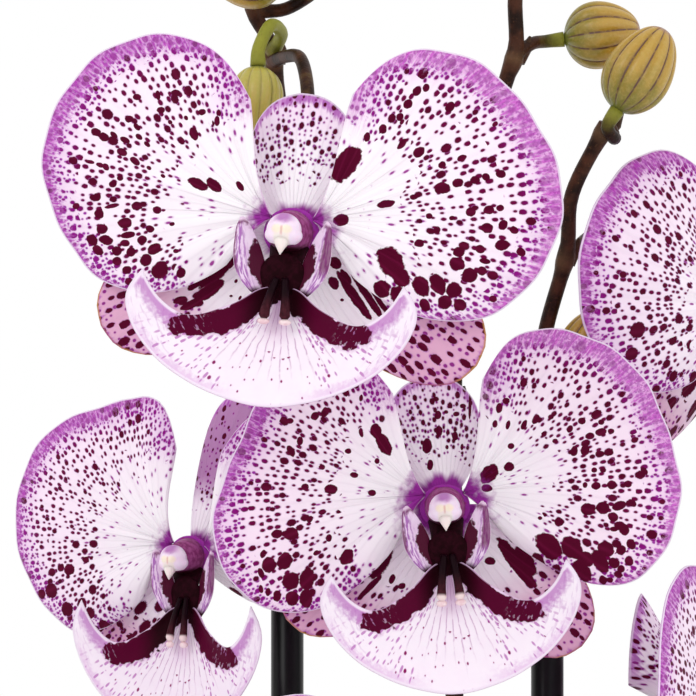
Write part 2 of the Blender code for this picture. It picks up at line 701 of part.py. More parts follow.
def make_pot(parts, materials):
    collar = POT_HEIGHT - POT_COLLAR_HEIGHT
    profile = [(0, POT_FLOOR), (inner_radius(POT_FLOOR), POT_FLOOR),
               (inner_radius(POT_HEIGHT - POT_EDGE), POT_HEIGHT - POT_EDGE),
               (inner_radius(POT_HEIGHT) + POT_EDGE, POT_HEIGHT),
               (POT_TOP_RADIUS - POT_EDGE, POT_HEIGHT),
               (POT_TOP_RADIUS, POT_HEIGHT - POT_EDGE),
               (POT_TOP_RADIUS, collar + POT_EDGE),
               (POT_TOP_RADIUS - POT_EDGE, collar),
               (wall_radius(collar), collar - POT_EDGE),
               (wall_radius(POT_EDGE), POT_EDGE),
               (POT_BASE_RADIUS - POT_EDGE, 0), (0, 0)]
    obj = turned("pot", profile, POT_STEPS)
    bpy.context.scene.collection.objects.unlink(obj)
    obj.data.shade_smooth()
    obj.data.set_sharp_from_angle(angle=math.radians(35))
    link(obj, parts, materials["ceramic"])


def make_medium(parts, materials):
    """Bark in the pot: a filled body with chips on top, and holes for the crown and stakes."""
    low = POT_FLOOR + GAP
    profile = [(0, MEDIUM_TOP), (inner_radius(MEDIUM_TOP) - 2 * GAP, MEDIUM_TOP),
               (inner_radius(low) - 2 * GAP, low), (0, low)]
    pieces = [turned("medium_body", profile, POT_STEPS)]
    draw = random.Random(CHIP_SEED)
    for i in range(CHIP_COUNT):
        ring = math.sqrt((i + 0.5) / CHIP_COUNT)
        around = i * math.radians(GOLDEN_ANGLE)
        reach = ring * (inner_radius(MEDIUM_TOP) - CHIP_MARGIN)
        work = bmesh.new()
        bmesh.ops.create_cube(work, size=1)
        size = [edge * draw.uniform(*CHIP_VARIATION) for edge in CHIP_SIZE]
        turn = (Matrix.Rotation(draw.uniform(0, math.pi), 4, "Z")
                @ Matrix.Rotation(draw.uniform(-CHIP_TILT, CHIP_TILT), 4, "X")
                @ Matrix.Rotation(draw.uniform(-CHIP_TILT, CHIP_TILT), 4, "Y"))
        place = Vector((reach * math.cos(around), reach * math.sin(around),
                        MEDIUM_TOP + CHIP_RISE * draw.uniform(-1, 0.6)))
        bmesh.ops.transform(work, matrix=Matrix.Translation(place) @ turn
                            @ Matrix.Diagonal((*size, 1)), verts=work.verts)
        mesh = bpy.data.meshes.new("chip")
        work.to_mesh(mesh)
        work.free()
        pieces.append(scratch_object("chip", mesh))
    filled = scratch_object("medium_filled", combined("medium_filled", pieces))
    cutters = []
    for x, y in STAKES.values():
        cutters.append(round_bar("hole", (x, y, STAKE_FOOT - GAP), (x, y, POT_HEIGHT + POT_HEIGHT),
                                 (STAKE_RADIUS + GAP, STAKE_RADIUS + GAP), 12))
    work = bmesh.new()
    bmesh.ops.create_cube(work, size=1)
    room = Vector((CROWN_SIZE[0] + 2 * GAP, CROWN_SIZE[1] + 2 * GAP, CROWN_SIZE[2]))
    bmesh.ops.transform(work, matrix=Matrix.Translation((0, 0, CROWN_FOOT - GAP + room.z / 2))
                        @ Matrix.Diagonal((*room, 1)), verts=work.verts)
    mesh = bpy.data.meshes.new("crown_hole")
    work.to_mesh(mesh)
    work.free()
    cutters.append(scratch_object("crown_hole", mesh))
    mesh = combined("growing_medium", [filled] + cutters, "DIFFERENCE")
    link(bpy.data.objects.new("growing_medium", mesh), parts, materials["bark"])


def make_crown(parts, materials):
    work = bmesh.new()
    bmesh.ops.create_cube(work, size=1)
    mesh = bpy.data.meshes.new("crown")
    bmesh.ops.transform(work, matrix=Matrix.Diagonal((*CROWN_SIZE, 1)), verts=work.verts)
    work.to_mesh(mesh)
    work.free()
    obj = bpy.data.objects.new("crown", mesh)
    obj.location = (0, 0, CROWN_FOOT + CROWN_SIZE[2] / 2)
    bevel = obj.modifiers.new("edges", "BEVEL")
    bevel.width = CROWN_EDGE
    bevel.segments = 2
    link(obj, parts, materials["crown"])


def make_stakes(parts, materials):
    for name, (x, y) in STAKES.items():
        obj = round_bar(name, (x, y, STAKE_FOOT), (x, y, STAKE_TOP), (STAKE_RADIUS, STAKE_RADIUS), 12)
        bpy.context.scene.collection.objects.unlink(obj)
        obj.data.shade_smooth()
        obj.data.set_sharp_from_angle(angle=math.radians(50))
        link(obj, parts, materials["stake"])


def loop_prism(name, centres, radius, low, high):
    """An upright prism round two circles of one radius."""
    work = bmesh.new()
    for x, y in centres:
        for k in range(CLIP_SIDES):
            around = 2 * math.pi * (k + 0.5) / CLIP_SIDES
            for z in (low, high):
                work.verts.new((x + radius * math.cos(around), y + radius * math.sin(around), z))
    hull = bmesh.ops.convex_hull(work, input=work.verts)
    unused = [v for v in hull["geom_interior"] if isinstance(v, bmesh.types.BMVert)]
    bmesh.ops.delete(work, geom=unused, context="VERTS")
    mesh = bpy.data.meshes.new(name)
    work.to_mesh(mesh)
    work.free()
    return scratch_object(name, mesh)


def make_clips(parts, materials):
    for side, (x, y) in STAKES.items():
        for index, height in enumerate(CLIP_HEIGHTS):
            name = side.replace("stake", "clip") + "_" + str(index + 1)
            centres = ((x, y), (x, y + CLIP_PITCH))
            inner = STAKE_RADIUS + 1.5 * GAP
            outer = loop_prism(name + "_outer", centres, inner + CLIP_WALL, height,
                               height + CLIP_HEIGHT)
            hole = loop_prism(name + "_hole", centres, inner, height - MM,
                              height + CLIP_HEIGHT + MM)
            mesh = combined(name, [outer, hole], "DIFFERENCE")
            link(bpy.data.objects.new(name, mesh), parts, materials["clip"])


def main():
    clear_scene()
    parts = new_collection("potted_moth_orchid")
    materials = make_materials()
    make_pot(parts, materials)
    make_medium(parts, materials)
    make_crown(parts, materials)
    make_leaves(parts, materials)
    make_roots(parts, materials)
    make_stakes(parts, materials)
    make_clips(parts, materials)
    make_stems(parts, materials)
    make_buds(parts, materials)
    make_blooms(parts, materials)


main()
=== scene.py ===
"""Looks of the potted moth orchid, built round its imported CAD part.

Metres, +Z up, blooms facing -Y. Finer pieces keep the form of the CAD's blooms, buds, stems, leaves,
roots and bark, and all colour is procedural. A bloom's own frame is x to the right, forward out of
its face, and z up.
"""

import json
import math
import random

import bpy
import numpy as np
from mathutils import Matrix, Vector

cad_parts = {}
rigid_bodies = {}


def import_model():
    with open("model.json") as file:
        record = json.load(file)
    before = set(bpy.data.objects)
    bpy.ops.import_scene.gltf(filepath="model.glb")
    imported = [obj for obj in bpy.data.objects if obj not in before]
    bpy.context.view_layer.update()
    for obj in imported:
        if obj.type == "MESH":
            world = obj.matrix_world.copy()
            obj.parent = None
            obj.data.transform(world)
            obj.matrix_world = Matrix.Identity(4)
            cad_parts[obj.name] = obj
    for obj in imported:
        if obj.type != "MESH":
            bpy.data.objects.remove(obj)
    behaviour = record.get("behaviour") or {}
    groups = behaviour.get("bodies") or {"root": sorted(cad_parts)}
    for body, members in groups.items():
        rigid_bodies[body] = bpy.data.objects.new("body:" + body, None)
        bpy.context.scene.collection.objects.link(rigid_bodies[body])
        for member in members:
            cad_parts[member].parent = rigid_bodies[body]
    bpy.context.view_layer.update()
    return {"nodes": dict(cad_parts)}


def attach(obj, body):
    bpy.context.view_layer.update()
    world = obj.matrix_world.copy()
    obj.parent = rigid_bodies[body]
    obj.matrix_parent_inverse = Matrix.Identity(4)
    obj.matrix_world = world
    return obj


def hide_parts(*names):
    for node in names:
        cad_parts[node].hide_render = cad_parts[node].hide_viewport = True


MM = 0.001

# The photograph's camera: place (metres), lens and sensor (millimetres), then the picture's width
# and the focal length (pixels)
CAMERA_PLACE = (-0.015, -0.655, 0.530)
CAMERA_LENS = 161.9
CAMERA_SENSOR = 36
PHOTO_WIDTH = 696
PHOTO_FOCAL = PHOTO_WIDTH * CAMERA_LENS / CAMERA_SENSOR

# Blades of a bloom, as in the CAD. An outline gives the distance (millimetres) of the edge from
# the blade's root by angle (degrees); that of a sepal is mirrored.
PETAL_ROOT = (4.2 * MM, 3 * MM)
PETAL_OUTLINE = ((-50, 13), (-40, 25), (-25, 37.5), (-10, 45), (5, 49.5), (20, 51), (35, 49),
                 (50, 44.8), (61, 40), (69, 33.5), (76, 24))
# The outlines of the petals that the photograph shows best, by bloom and side
OWN_OUTLINES = {
    ("bloom_a", -1): ((-50, 13), (-40, 24.5), (-25, 36.5), (-10, 43.6), (5, 48.7), (20, 51.2),
                      (35, 50.8), (50, 45.8), (61, 40.3), (69, 33.5), (76, 24)),
    ("bloom_a", 1): ((-50, 14.5), (-40, 27), (-25, 39.5), (-10, 46.2), (5, 49.3), (20, 49.6),
                     (35, 47.4), (50, 44.8), (61, 40.8), (69, 35), (76, 26)),
    ("bloom_b", -1): ((-55, 14), (-50, 24), (-44, 34), (-39, 39.3), (-33, 43.6), (-27, 47),
                      (-19, 49.1), (-11, 49.7), (-3, 48.6), (8, 46.2), (17, 44.8), (27, 43.8),
                      (38, 43.8), (50, 43.4), (61, 40), (69, 33.5), (76, 24)),
    ("bloom_b", 1): ((-49, 14), (-45, 24), (-41, 33), (-37, 38.5), (-33, 42.3), (-28, 45.4),
                     (-21, 47.8), (-12, 49), (-3, 49.3), (8, 49), (20, 48.9), (35, 47.6),
                     (50, 44.8), (61, 40.8), (69, 35.5), (76, 26)),
    ("bloom_c", -1): ((-56, 16), (-48, 28), (-38, 38), (-25, 43), (-10, 46.6), (5, 49.6),
                      (20, 49.8), (35, 46.8), (50, 42.4), (61, 39.8), (70, 38.4), (78, 37.2),
                      (86, 33.5), (93, 24)),
    ("bloom_c", 1): ((-42, 9), (-38, 15), (-32, 22), (-25, 30), (-12, 42), (5, 49.5), (20, 51),
                     (35, 49), (50, 44.8), (61, 40), (69, 33.5), (76, 24)),
}
PETAL_RECURVE = 6 * MM
PETAL_BULGE = 1.8 * MM
PETAL_START = 0.012
PETAL_FORWARD = 0.8 * MM
PETAL_GATHER = 0.28
PETAL_WAVES = 7
PETAL_CREASE = 1.1 * MM
PETAL_CREASES = 15
DORSAL_OUTLINE = ((0, 29.5), (10, 28.7), (18, 26.8), (25, 24.2), (31, 21), (37, 17), (44, 12))
LATERAL_OUTLINE = ((0, 45), (7, 43.8), (14, 39.5), (20, 34), (27, 27.5), (34, 22), (43, 16))
LATERAL_HEADING = 32
SEPAL_START = 0.04
SEPAL_BACK = 1.8 * MM
SEPAL_LEAN = 1.4
SEPAL_SPREAD = 0.25
SEPAL_WAVES = 4
DORSAL_RECURVE = 15 * MM
LATERAL_RECURVE = 6.5 * MM
MARGIN_WAVE = 0.7 * MM
SEED_PHASE = 1.7
BLADE_THICKNESS = 0.9 * MM

# Lip, as in the CAD: LIP_EDGE is half its opening angle (degrees) from the throat outward
LIP_THROAT = (7 * MM, -11 * MM)
LIP_OUTLINE = ((0, 23.4), (20, 23.6), (40, 25), (58, 27.2), (74, 29), (84, 29), (94, 26))
LIP_EDGE = ((0, 100), (0.12, 86), (0.28, 69), (0.5, 66), (0.7, 69), (0.86, 80), (1, 94))
LIP_START = 0.08
LIP_REACH = 15 * MM
LIP_DROOP = 3.5 * MM
LIP_DISH = 2.6 * MM
# Side lobes: middle and half width (millimetres) by height, and the heights
WING_MIDDLE = ((0, 4.2), (0.25, 6), (0.5, 6.9), (0.75, 7.7), (1, 8.6))
WING_HALF = ((0, 0.7), (0.12, 2), (0.35, 2.9), (0.6, 2.6), (0.85, 1.5), (1, 0.5))
WING_HEIGHTS = (-12.6 * MM, 2.6 * MM)
WING_FORWARD = 8.6 * MM
WING_TWIST = 1.9 * MM
WING_ROLL = 1.3 * MM
WING_THICKNESS = 0.7 * MM
FACE_FORWARD = 9 * MM
# Rods of a bloom, in millimetres: places and radii, and for the column's foot how far along it
HUB_ROD = (((0, 8, 0), 2.2), ((0, 4, 0), 3.4), ((0, -0.2, 0), 5))
COLUMN_ROD = (((0, 1, 0), 4.9), ((0, -3, 0.2), 4.3), ((0, -8.5, 0.4), 3.3))
BEAK_ROD = (((0, -10.6, -1.2), 1.5), ((0, -11.1, -2.3), 1.4), ((0, -11.4, -3.2), 0.85),
            ((0, -11.6, -4.5), 0.08))
FOOT_START = (0, -1, -3)
FOOT_LEAN = 57
FOOT_LENGTH = 7
FOOT_ROD = ((0, 2.9), (3.5, 2.6), (FOOT_LENGTH, 2.5))
FOOT_WIDENING = 1.4
CLAW_ROD = ((7.45, 2.2), (9.15, 2.2), (10.85, 2.2))
PRONG_ROUTE = ((0.9, -8.8, -9.4), (1.4, -10.8, -12), (1.9, -12.4, -14.8), (2.1, -13.3, -17.1))
# Balls of a bloom, in millimetres: centre and radii
HUB_BALL = ((0, -0.3, 0.1), (5.7, 1.5, 5.1))
CAP_BALL = ((0, -9, 0.3), (3.5, 3.1, 3.5))
CUSHION_BALL = ((0, -7.5, -9.4), (4.9, 1.1, 5.4))
PRONG_BALL = ((2.15, -13, -17.75), (1.25, 0.7, 0.65))

# Each bloom: face (millimetres), turn, nod, roll (degrees), size, droop of its lip and seed
BLOOMS = {
    "bloom_a": ((-27.3, -55, 552.2), -9, 0, 4, 0.97, 0, 1),
    "bloom_b": ((4.8, -15, 496.9), -2, 1, -4, 0.915, 12, 2),
    "bloom_c": ((-52.8, 23, 484), -25, 3, 0, 0.88, 0, 3),
    "bloom_d": ((81, 38.6, 535.5), 47, 0, -2, 1, 0, 4),
    "bloom_e": ((71.2, 28, 447), 77, 3, 2, 0.94, 0, 5),
    "bloom_g": ((-2, -6, 420), 2, 6, 4, 0.92, 6, 6),
    "bloom_h": ((-78, -22, 402), -30, 6, -5, 0.96, 6, 7),
}
# Degrees by which a dorsal sepal leans to the left in its bloom
DORSAL_TURN = {"bloom_a": 6, "bloom_b": 5, "bloom_c": -11}
# Degrees by which a lateral sepal is turned, from the right toward the top, by bloom and side
LATERAL_TURN = {("bloom_a", -1): -4, ("bloom_b", 1): -18, ("bloom_c", 1): 30}
# The dorsal sepal of bloom_c is longer and narrower
LONG_OUTLINE = ((0, 40), (7, 38.5), (13, 34), (18, 28), (23, 20), (27, 12))
# Lips that differ from the rest: factors across and, below the height that follows, down; and how
# far they lie to the right
LIP_FACTORS = {"bloom_b": (1, 1.17), "bloom_c": (0.9, 1.28)}
LIP_STRETCH_HEIGHT = -9 * MM
LIP_SHIFTS = {"bloom_c": 2.5 * MM}
# Faces along and across a blade: petals and lips of the two blooms in front are finer
FINE_BLOOMS = ("bloom_a", "bloom_b")
FINE_GRID = (44, 88)
PLAIN_GRID = (30, 60)
DORSAL_GRID = (24, 36)
LATERAL_GRID = (28, 32)
FINE_LIP_GRID = (44, 90)
WING_GRID = (28, 20)
# Parts of a bloom's two pieces that have materials of their own
TEPAL_PARTS = ("petal_left", "petal_right", "dorsal", "lateral", "column", "cap", "hub", "claw")
LIP_PARTS = ("lip", "wing", "prong", "claw", "collar")
# Widths (millimetres) of the tinted margins: a petal's least width and what it gains above
PETAL_BAND = (0.6, 3.4)
DORSAL_BAND = 2
LATERAL_BAND = 0.3

# Larger marks read off the photograph, by material: x, y, half length and half width
# (pixels), and lean (degrees)
MARKS = {
    "petal_left_a": (
        (198, 184, 11.5, 5, -28), (214, 185, 9, 5.2, -42), (240, 186, 5.5, 3, -55),
        (194, 134, 6.8, 4.2, -70), (202, 112, 3.8, 3.2, 0), (217, 121, 5, 2.8, 90),
        (161, 110, 4, 3.3, 0), (137, 97, 4.2, 3.2, 0), (158, 95, 5, 2.5, -80),
        (176, 93, 4.7, 3.3, 0), (129, 119, 4.2, 3.5, 0), (137, 127, 4.5, 2.6, -45),
        (96, 132, 5.5, 3.6, -20), (104, 137, 5.5, 4.2, -40), (114, 135, 4.5, 2.6, -40),
        (125, 140, 5, 2.8, -30), (122, 152, 5.4, 3.7, -30), (135, 161, 5.6, 3.3, -35),
        (139, 137, 4, 2.6, -40), (147, 144, 3.8, 2.1, -40), (90, 162, 4.5, 2, -10),
        (100, 165, 4, 2.4, -20), (106, 167, 4.2, 2.8, -50), (137, 206, 5.5, 4.4, 0),
        (157, 210, 4.4, 3.8, 0), (125, 223, 7, 5.4, 0), (102, 229, 5.4, 5, 0),
        (99, 214, 4.8, 4.6, 0), (128, 235, 7, 3.4, 10), (106, 240, 6.8, 4.8, -20),
        (125, 243, 4.8, 3.4, 0), (150, 229, 4.2, 3.7, 0), (142, 240, 4.7, 4.6, 0),
        (154, 249, 7.2, 5, 35), (146, 260, 6.4, 5.6, 60), (160, 270, 9.4, 7.8, 50),
        (117, 251, 5.2, 4.7, 0), (131, 252, 5, 4.4, 60), (181, 273, 5.6, 4.6, 70),
        (92, 240, 6.8, 4.6, -50), (98, 250, 6, 4.4, -40), (97, 197, 4, 3.8, 0),
        (113, 184, 3.9, 3.5, 0), (120, 178, 3.2, 2.8, 0), (76, 206, 3.6, 3.3, 0),
        (117, 261, 4.6, 4.3, 0), (127, 270, 4.6, 4.3, 0), (112, 206, 7.2, 2.2, 12),
        (186, 118, 2.6, 2, -60), (170, 122, 2.4, 2, -50), (149, 168, 2.6, 2, -40),
        (163, 176, 2.6, 1.8, -30), (172, 224, 2.8, 2, 10), (176, 251, 2.8, 2.2, 0)),
    "petal_right_a": (
        (346, 164, 21, 11, 52), (391, 262, 17, 12, -55), (401, 277, 10, 8.5, -50),
        (382, 289, 9, 8, -60), (399, 295, 10, 8, -40), (421, 286, 10.5, 8, -60),
        (438, 284, 10.5, 7.6, -60), (454, 290, 8.2, 7.8, 0), (445, 302, 7, 6.8, 0),
        (460, 305, 6.6, 6, -40), (457, 264, 8, 6.6, -20), (470, 275, 7.6, 7.2, 0),
        (459, 252, 6, 5, 0), (482, 271, 4.8, 4.4, 0), (502, 245, 6.8, 5.6, 10),
        (487, 228, 6, 5.2, 0), (503, 225, 5.4, 4.4, 80), (471, 212, 5, 4.6, 0),
        (489, 210, 5.4, 4.5, 0), (500, 208, 4, 3.3, 0), (442, 188, 8.2, 5.8, 5),
        (458, 183, 5.5, 4.4, 15), (475, 180, 4.8, 3.9, 10), (486, 177, 4.1, 3.7, 0),
        (501, 174, 5.1, 4.1, 10), (419, 152, 6.2, 4.7, 40), (462, 158, 5.3, 3, 25),
        (442, 165, 4.2, 3.4, 30), (386, 204, 9.2, 3.8, 12), (414, 197, 4.6, 2.8, 10),
        (419, 243, 5, 4, 0), (437, 230, 3.9, 3.4, 70), (429, 216, 3.4, 3, 0),
        (383, 129, 5.1, 3.9, 75), (367, 137, 4.8, 3.3, 80), (400, 117, 4, 3.5, 70),
        (408, 104, 5, 4.2, 50), (417, 91, 5.2, 4.1, 60), (450, 107, 5.5, 4.2, 50),
        (402, 144, 6.2, 3.1, 50), (426, 88, 4.2, 3.2, 70), (425, 305, 6.6, 4.8, -60),
        (480, 249, 5, 4.3, -30), (485, 261, 5.4, 3, -10), (514, 230, 4.6, 3.7, -30),
        (521, 252, 5, 3.9, -40), (341, 220, 8, 6.2, 10), (495, 124, 3.2, 2.2, 35),
        (452, 218, 3, 2.4, 0), (402, 122, 3, 2, 60), (493, 299, 4, 3.4, -20)),
    "lateral_a": (
        (335, 263, 7, 5.5, -40), (334, 283, 6.5, 5, -60), (360, 268, 20, 5.2, -48),
        (354, 296, 30, 4.8, -55), (368, 297, 30, 3.8, -56), (372, 280, 15, 4.2, -48),
        (382, 305, 18, 2.6, -54), (346, 277, 9, 3.4, -55), (342, 300, 2, 1.6, 0),
        (215, 269, 26, 10.5, 42), (209, 291, 18, 6.2, 35), (192, 304, 13, 4.2, 25),
        (224, 252, 5, 3.4, 0), (180, 300, 7, 3.6, 15), (231, 262, 8, 4, 60),
        (196, 283, 10, 4.5, 40), (236, 281, 2.2, 1.6, 60), (240, 298, 2.4, 1.4, 60),
        (231, 296, 1.6, 1.2, 0)),
    "petal_left_b": (
        (376, 431, 8, 5.5, -75), (384, 444, 12, 6.5, -62), (331, 489, 6.6, 5, 0),
        (354, 475, 4, 3, 0), (377, 461, 3, 2.5, 90), (372, 493, 4, 3, 0), (305, 487, 3.6, 3.3, 0),
        (291, 534, 7.6, 6.3, 15), (277, 534, 6, 4.1, 10), (329, 538, 3.8, 3, 80),
        (347, 557, 8.6, 6.2, 65), (269, 565, 8.2, 7, 80), (285, 561, 8.6, 7, 60),
        (291, 581, 9.2, 8, 80), (307, 579, 11.8, 7.5, 80), (292, 598, 7.4, 6.4, 90),
        (306, 598, 10, 6.4, 88), (277, 596, 5.6, 4.2, 85), (268, 592, 4.2, 2.6, 90),
        (261, 573, 5.2, 3.1, -70), (261, 589, 4, 2.3, -80), (300, 441, 4.5, 3.1, 85),
        (290, 421, 3.6, 3, 0), (325, 412, 5.6, 3.6, 65), (315, 416, 4.5, 3.7, 50),
        (361, 433, 4.5, 2.3, -75), (361, 398, 3.6, 2, 80), (348, 451, 3.2, 2.8, 0),
        (322, 467, 3.2, 2.6, 0), (291, 451, 6.2, 3.4, -60), (310, 519, 3.8, 2.6, 60),
        (263, 554, 4.2, 2.8, 70), (303, 454, 3.2, 2.5, 0), (316, 553, 3.2, 2.3, 40)),
    "petal_right_b": (
        (489, 474, 11, 7.5, 50), (509, 467, 5.2, 4.7, 30), (487, 488, 5.6, 4, 0),
        (511, 446, 3.3, 3, 0), (495, 424, 4, 2.6, 80), (499, 408, 5.3, 3.3, 80),
        (506, 401, 3.6, 3.2, 0), (524, 425, 5.4, 2.7, 65), (536, 419, 5.4, 3.4, 60),
        (508, 425, 4.8, 2.2, 75), (555, 441, 2.8, 2.4, 0), (551, 417, 2.8, 2.4, 0),
        (582, 421, 4, 3.4, 0), (590, 436, 4.6, 3.5, 10), (601, 432, 5.8, 3.6, 15),
        (611, 431, 3.2, 2.8, 0), (601, 422, 3.2, 2.7, 0), (574, 451, 5.2, 3.7, 80),
        (585, 450, 5.8, 4.2, 80), (600, 454, 4.9, 3.2, 0), (570, 429, 3.9, 3, 60),
        (588, 509, 7.3, 6.3, 0), (603, 508, 6.8, 6.1, 0), (619, 506, 7, 4.6, 20),
        (613, 517, 5.4, 4.4, -30), (596, 486, 4.5, 3.9, 0), (612, 485, 4.8, 4.5, 0),
        (628, 484, 3.9, 3.5, 0), (585, 485, 2.9, 2.5, 90), (603, 470, 3.1, 2.7, 0),
        (594, 470, 2.9, 2.5, 0), (559, 522, 4.7, 4.4, 0), (549, 546, 15.5, 10.5, -48),
        (572, 548, 12.8, 9.6, -50), (586, 559, 8.4, 6.6, -50), (582, 571, 12.8, 7.4, -52),
        (538, 561, 9.2, 5.8, -65), (600, 561, 12.6, 6.8, -58), (606, 549, 8.6, 7.2, -30),
        (614, 563, 5.8, 5.2, -40), (621, 550, 4.9, 4.6, 0), (621, 569, 3.8, 3.6, 0),
        (624, 529, 6.2, 5.1, -60), (631, 544, 5.6, 4.5, -60), (614, 529, 4.2, 2.6, 0),
        (603, 580, 4.7, 3.9, -60), (610, 580, 3.2, 2.8, 0), (540, 518, 2.3, 1.9, 0),
        (632, 503, 4.6, 3.4, -40), (644, 471, 4.7, 2.9, -50), (629, 561, 5, 4.2, -50)),
    "lateral_b": (
        (513, 532, 17, 8, -50), (511, 556, 22, 6.5, -55), (526, 561, 17, 7, -58),
        (527, 576, 14, 4.5, -50), (490, 561, 5.5, 4, 0), (519, 573, 18, 2.6, -50),
        (379, 561, 20, 10.5, 58), (391, 543, 6, 5, 70), (370, 587, 17, 3, 45),
        (392, 579, 5, 3, 70), (402, 586, 4, 3, 30)),
    "dorsal_b": (
        (427, 446, 7.6, 4.8, 88), (439, 431, 5, 3.7, 88), (455, 436, 4.5, 3.3, 85),
        (430, 465, 5.6, 3, 85), (438, 415, 4.4, 3.5, 88), (447, 447, 2.2, 1.7, 90),
        (456, 414, 3, 2.5, 0), (463, 406, 3, 2.3, 0), (436, 399, 3, 2.4, 0),
        (446, 412, 2.2, 1.8, 0), (462, 447, 3.2, 1.7, 85), (470, 404, 15, 1.6, 88)),
}

# Dark band of a lip: x and z from the throat, and half width (millimetres), mirrored
LIP_BAND = ((0.8, 0.8, 2.7), (4.2, -2.4, 2.4), (7.2, -5.5, 2.3), (11.2, -7.7, 2.3),
            (15.5, -8.6, 2.3), (18.6, -8.4, 1.8))

# Buds, as in the CAD: base, heading of the axis, length and radius (millimetres)
BUD_RIDGES = 6
BUD_RIDGE_DEPTH = 0.09
BUD_TAPER = 0.10
BUD_SEAT = 1.3
PALE_BUDS = ("bud_left_2", "bud_left_3", "bud_middle_3")
BUDS = {
    "bud_middle_1": ((31.8, 22, 596.8), (0.99, 0, 0.12), 16.5, 7),
    "bud_middle_2": ((30.5, 12, 622.5), (0.55, -0.2, 0.80), 13.5, 5.4),
    "bud_middle_3": ((18, 15, 640.5), (-0.45, -0.1, 0.90), 11, 4.3),
    "bud_right_1": ((41.8, 6, 580.2), (0.50, 0.05, 0.86), 20, 6.9),
    "bud_right_2": ((33.6, 25, 525.5), (0.45, -0.05, 0.88), 14, 5.2),
    "bud_left_1": ((-27.6, -1, 608), (-0.99, 0, 0.08), 17, 7.4),
    "bud_left_2": ((-33.6, -8, 588.2), (-0.05, -0.15, -0.98), 15, 5.3),
    "bud_left_3": ((-26, 11, 622), (0.35, -0.1, 0.93), 12.5, 4.9),
}

# Flower stems, as in the CAD: route, nodes and side stalks (millimetres)
STEM_RADII = (2.7, 1.55)
STALK_RADIUS = 1.4
STALK_GAP = 0.05 * MM
STEM_SIDES = 16
STEM_STEPS = (26 * MM, 2.2 * MM)
STALK_STEPS = (9 * MM, 1.1 * MM)
# Shares of green at both ends of a stalk that carries a bloom, the green bud or another bud
BLOOM_STALK_GREEN = (0.15, 0.7)
GREEN_BUD_STALK = (0.6, 1)
BUD_STALK_GREEN = (0, 0.75)
STEMS = {
    "flower_stem_left": dict(
        route=((-6, 12.4, 128), (-6, 16.5, 128), (-9, 27, 141), (-15, 37, 163), (-24, 42.2, 198),
               (-28.4, 43.4, 245), (-28.4, 43.4, 385), (-28.4, 43.4, 480), (-28, 42, 507),
               (-27.6, 32, 533), (-28, 21, 562), (-31, 11, 592), (-35, 9, 602), (-34, 10, 616)),
        nodes=(160, 270, 410, 497, 591, 603),
        blooms={"bloom_a": ((-31, 11, 591), (-25, -8, 590), (-23, -22, 578), (-24, -38, 558)),
                "bloom_c": ((-28.2, 42, 498), (-34, 48, 502), (-43, 48, 493)),
                "bloom_h": ((-28.4, 43.4, 412), (-38, 45, 424), (-56, 27, 420), (-69, -1, 406))},
        buds={"bud_left_1": ((-34.8, 9.2, 601.5), (-28, 9, 602), (-21, 3, 606)),
              "bud_left_2": ((-31, 10, 593), (-29, 3, 596), (-31, -5, 597)),
              "bud_left_3": ((-34, 10, 615), (-31, 11, 617))}),
    "flower_stem_middle": dict(
        route=((0, 12.4, 137), (0, 16.5, 137), (0.5, 24, 148), (2, 31, 172), (5, 33, 220),
               (8, 30, 300), (8.5, 26, 400), (8, 25, 480), (8.5, 22, 533), (13, 19, 565),
               (18.5, 17, 586), (21, 16, 594), (20.8, 15, 606), (22.5, 15, 622), (20.5, 15, 634)),
        nodes=(180, 300, 424, 516, 592, 621),
        blooms={"bloom_b": ((8.4, 23, 516), (8, 17, 516), (7, 11, 506)),
                "bloom_g": ((8.4, 25.6, 424), (6, 21, 428))},
        buds={"bud_middle_1": ((20.8, 16, 592.5), (24.5, 19, 595.5)),
              "bud_middle_2": ((22, 15, 620), (26.5, 13.5, 618)),
              "bud_middle_3": ((20.5, 15, 633), (20.4, 15, 634.5))}),
    "flower_stem_right": dict(
        route=((6, 12.4, 128), (6, 16.5, 128), (9, 27, 141), (15, 37, 163), (24.5, 42.2, 198),
               (29, 43.4, 245), (29, 43.4, 385), (29, 43.4, 480), (28.2, 41, 507),
               (27.5, 28, 530), (32, 19, 550), (33, 15, 563), (40, 10, 577.5)),
        nodes=(155, 265, 405, 441, 521, 549, 576),
        blooms={"bloom_d": ((32, 19, 549), (41, 36, 556), (55, 61, 552), (63, 63, 542)),
                "bloom_e": ((29, 43.4, 441), (38, 43, 448), (47, 37, 449))},
        buds={"bud_right_1": ((40, 10, 577.4), (41.5, 9, 574.5)),
              "bud_right_2": ((28, 33, 522), (30, 28, 519))}),
}

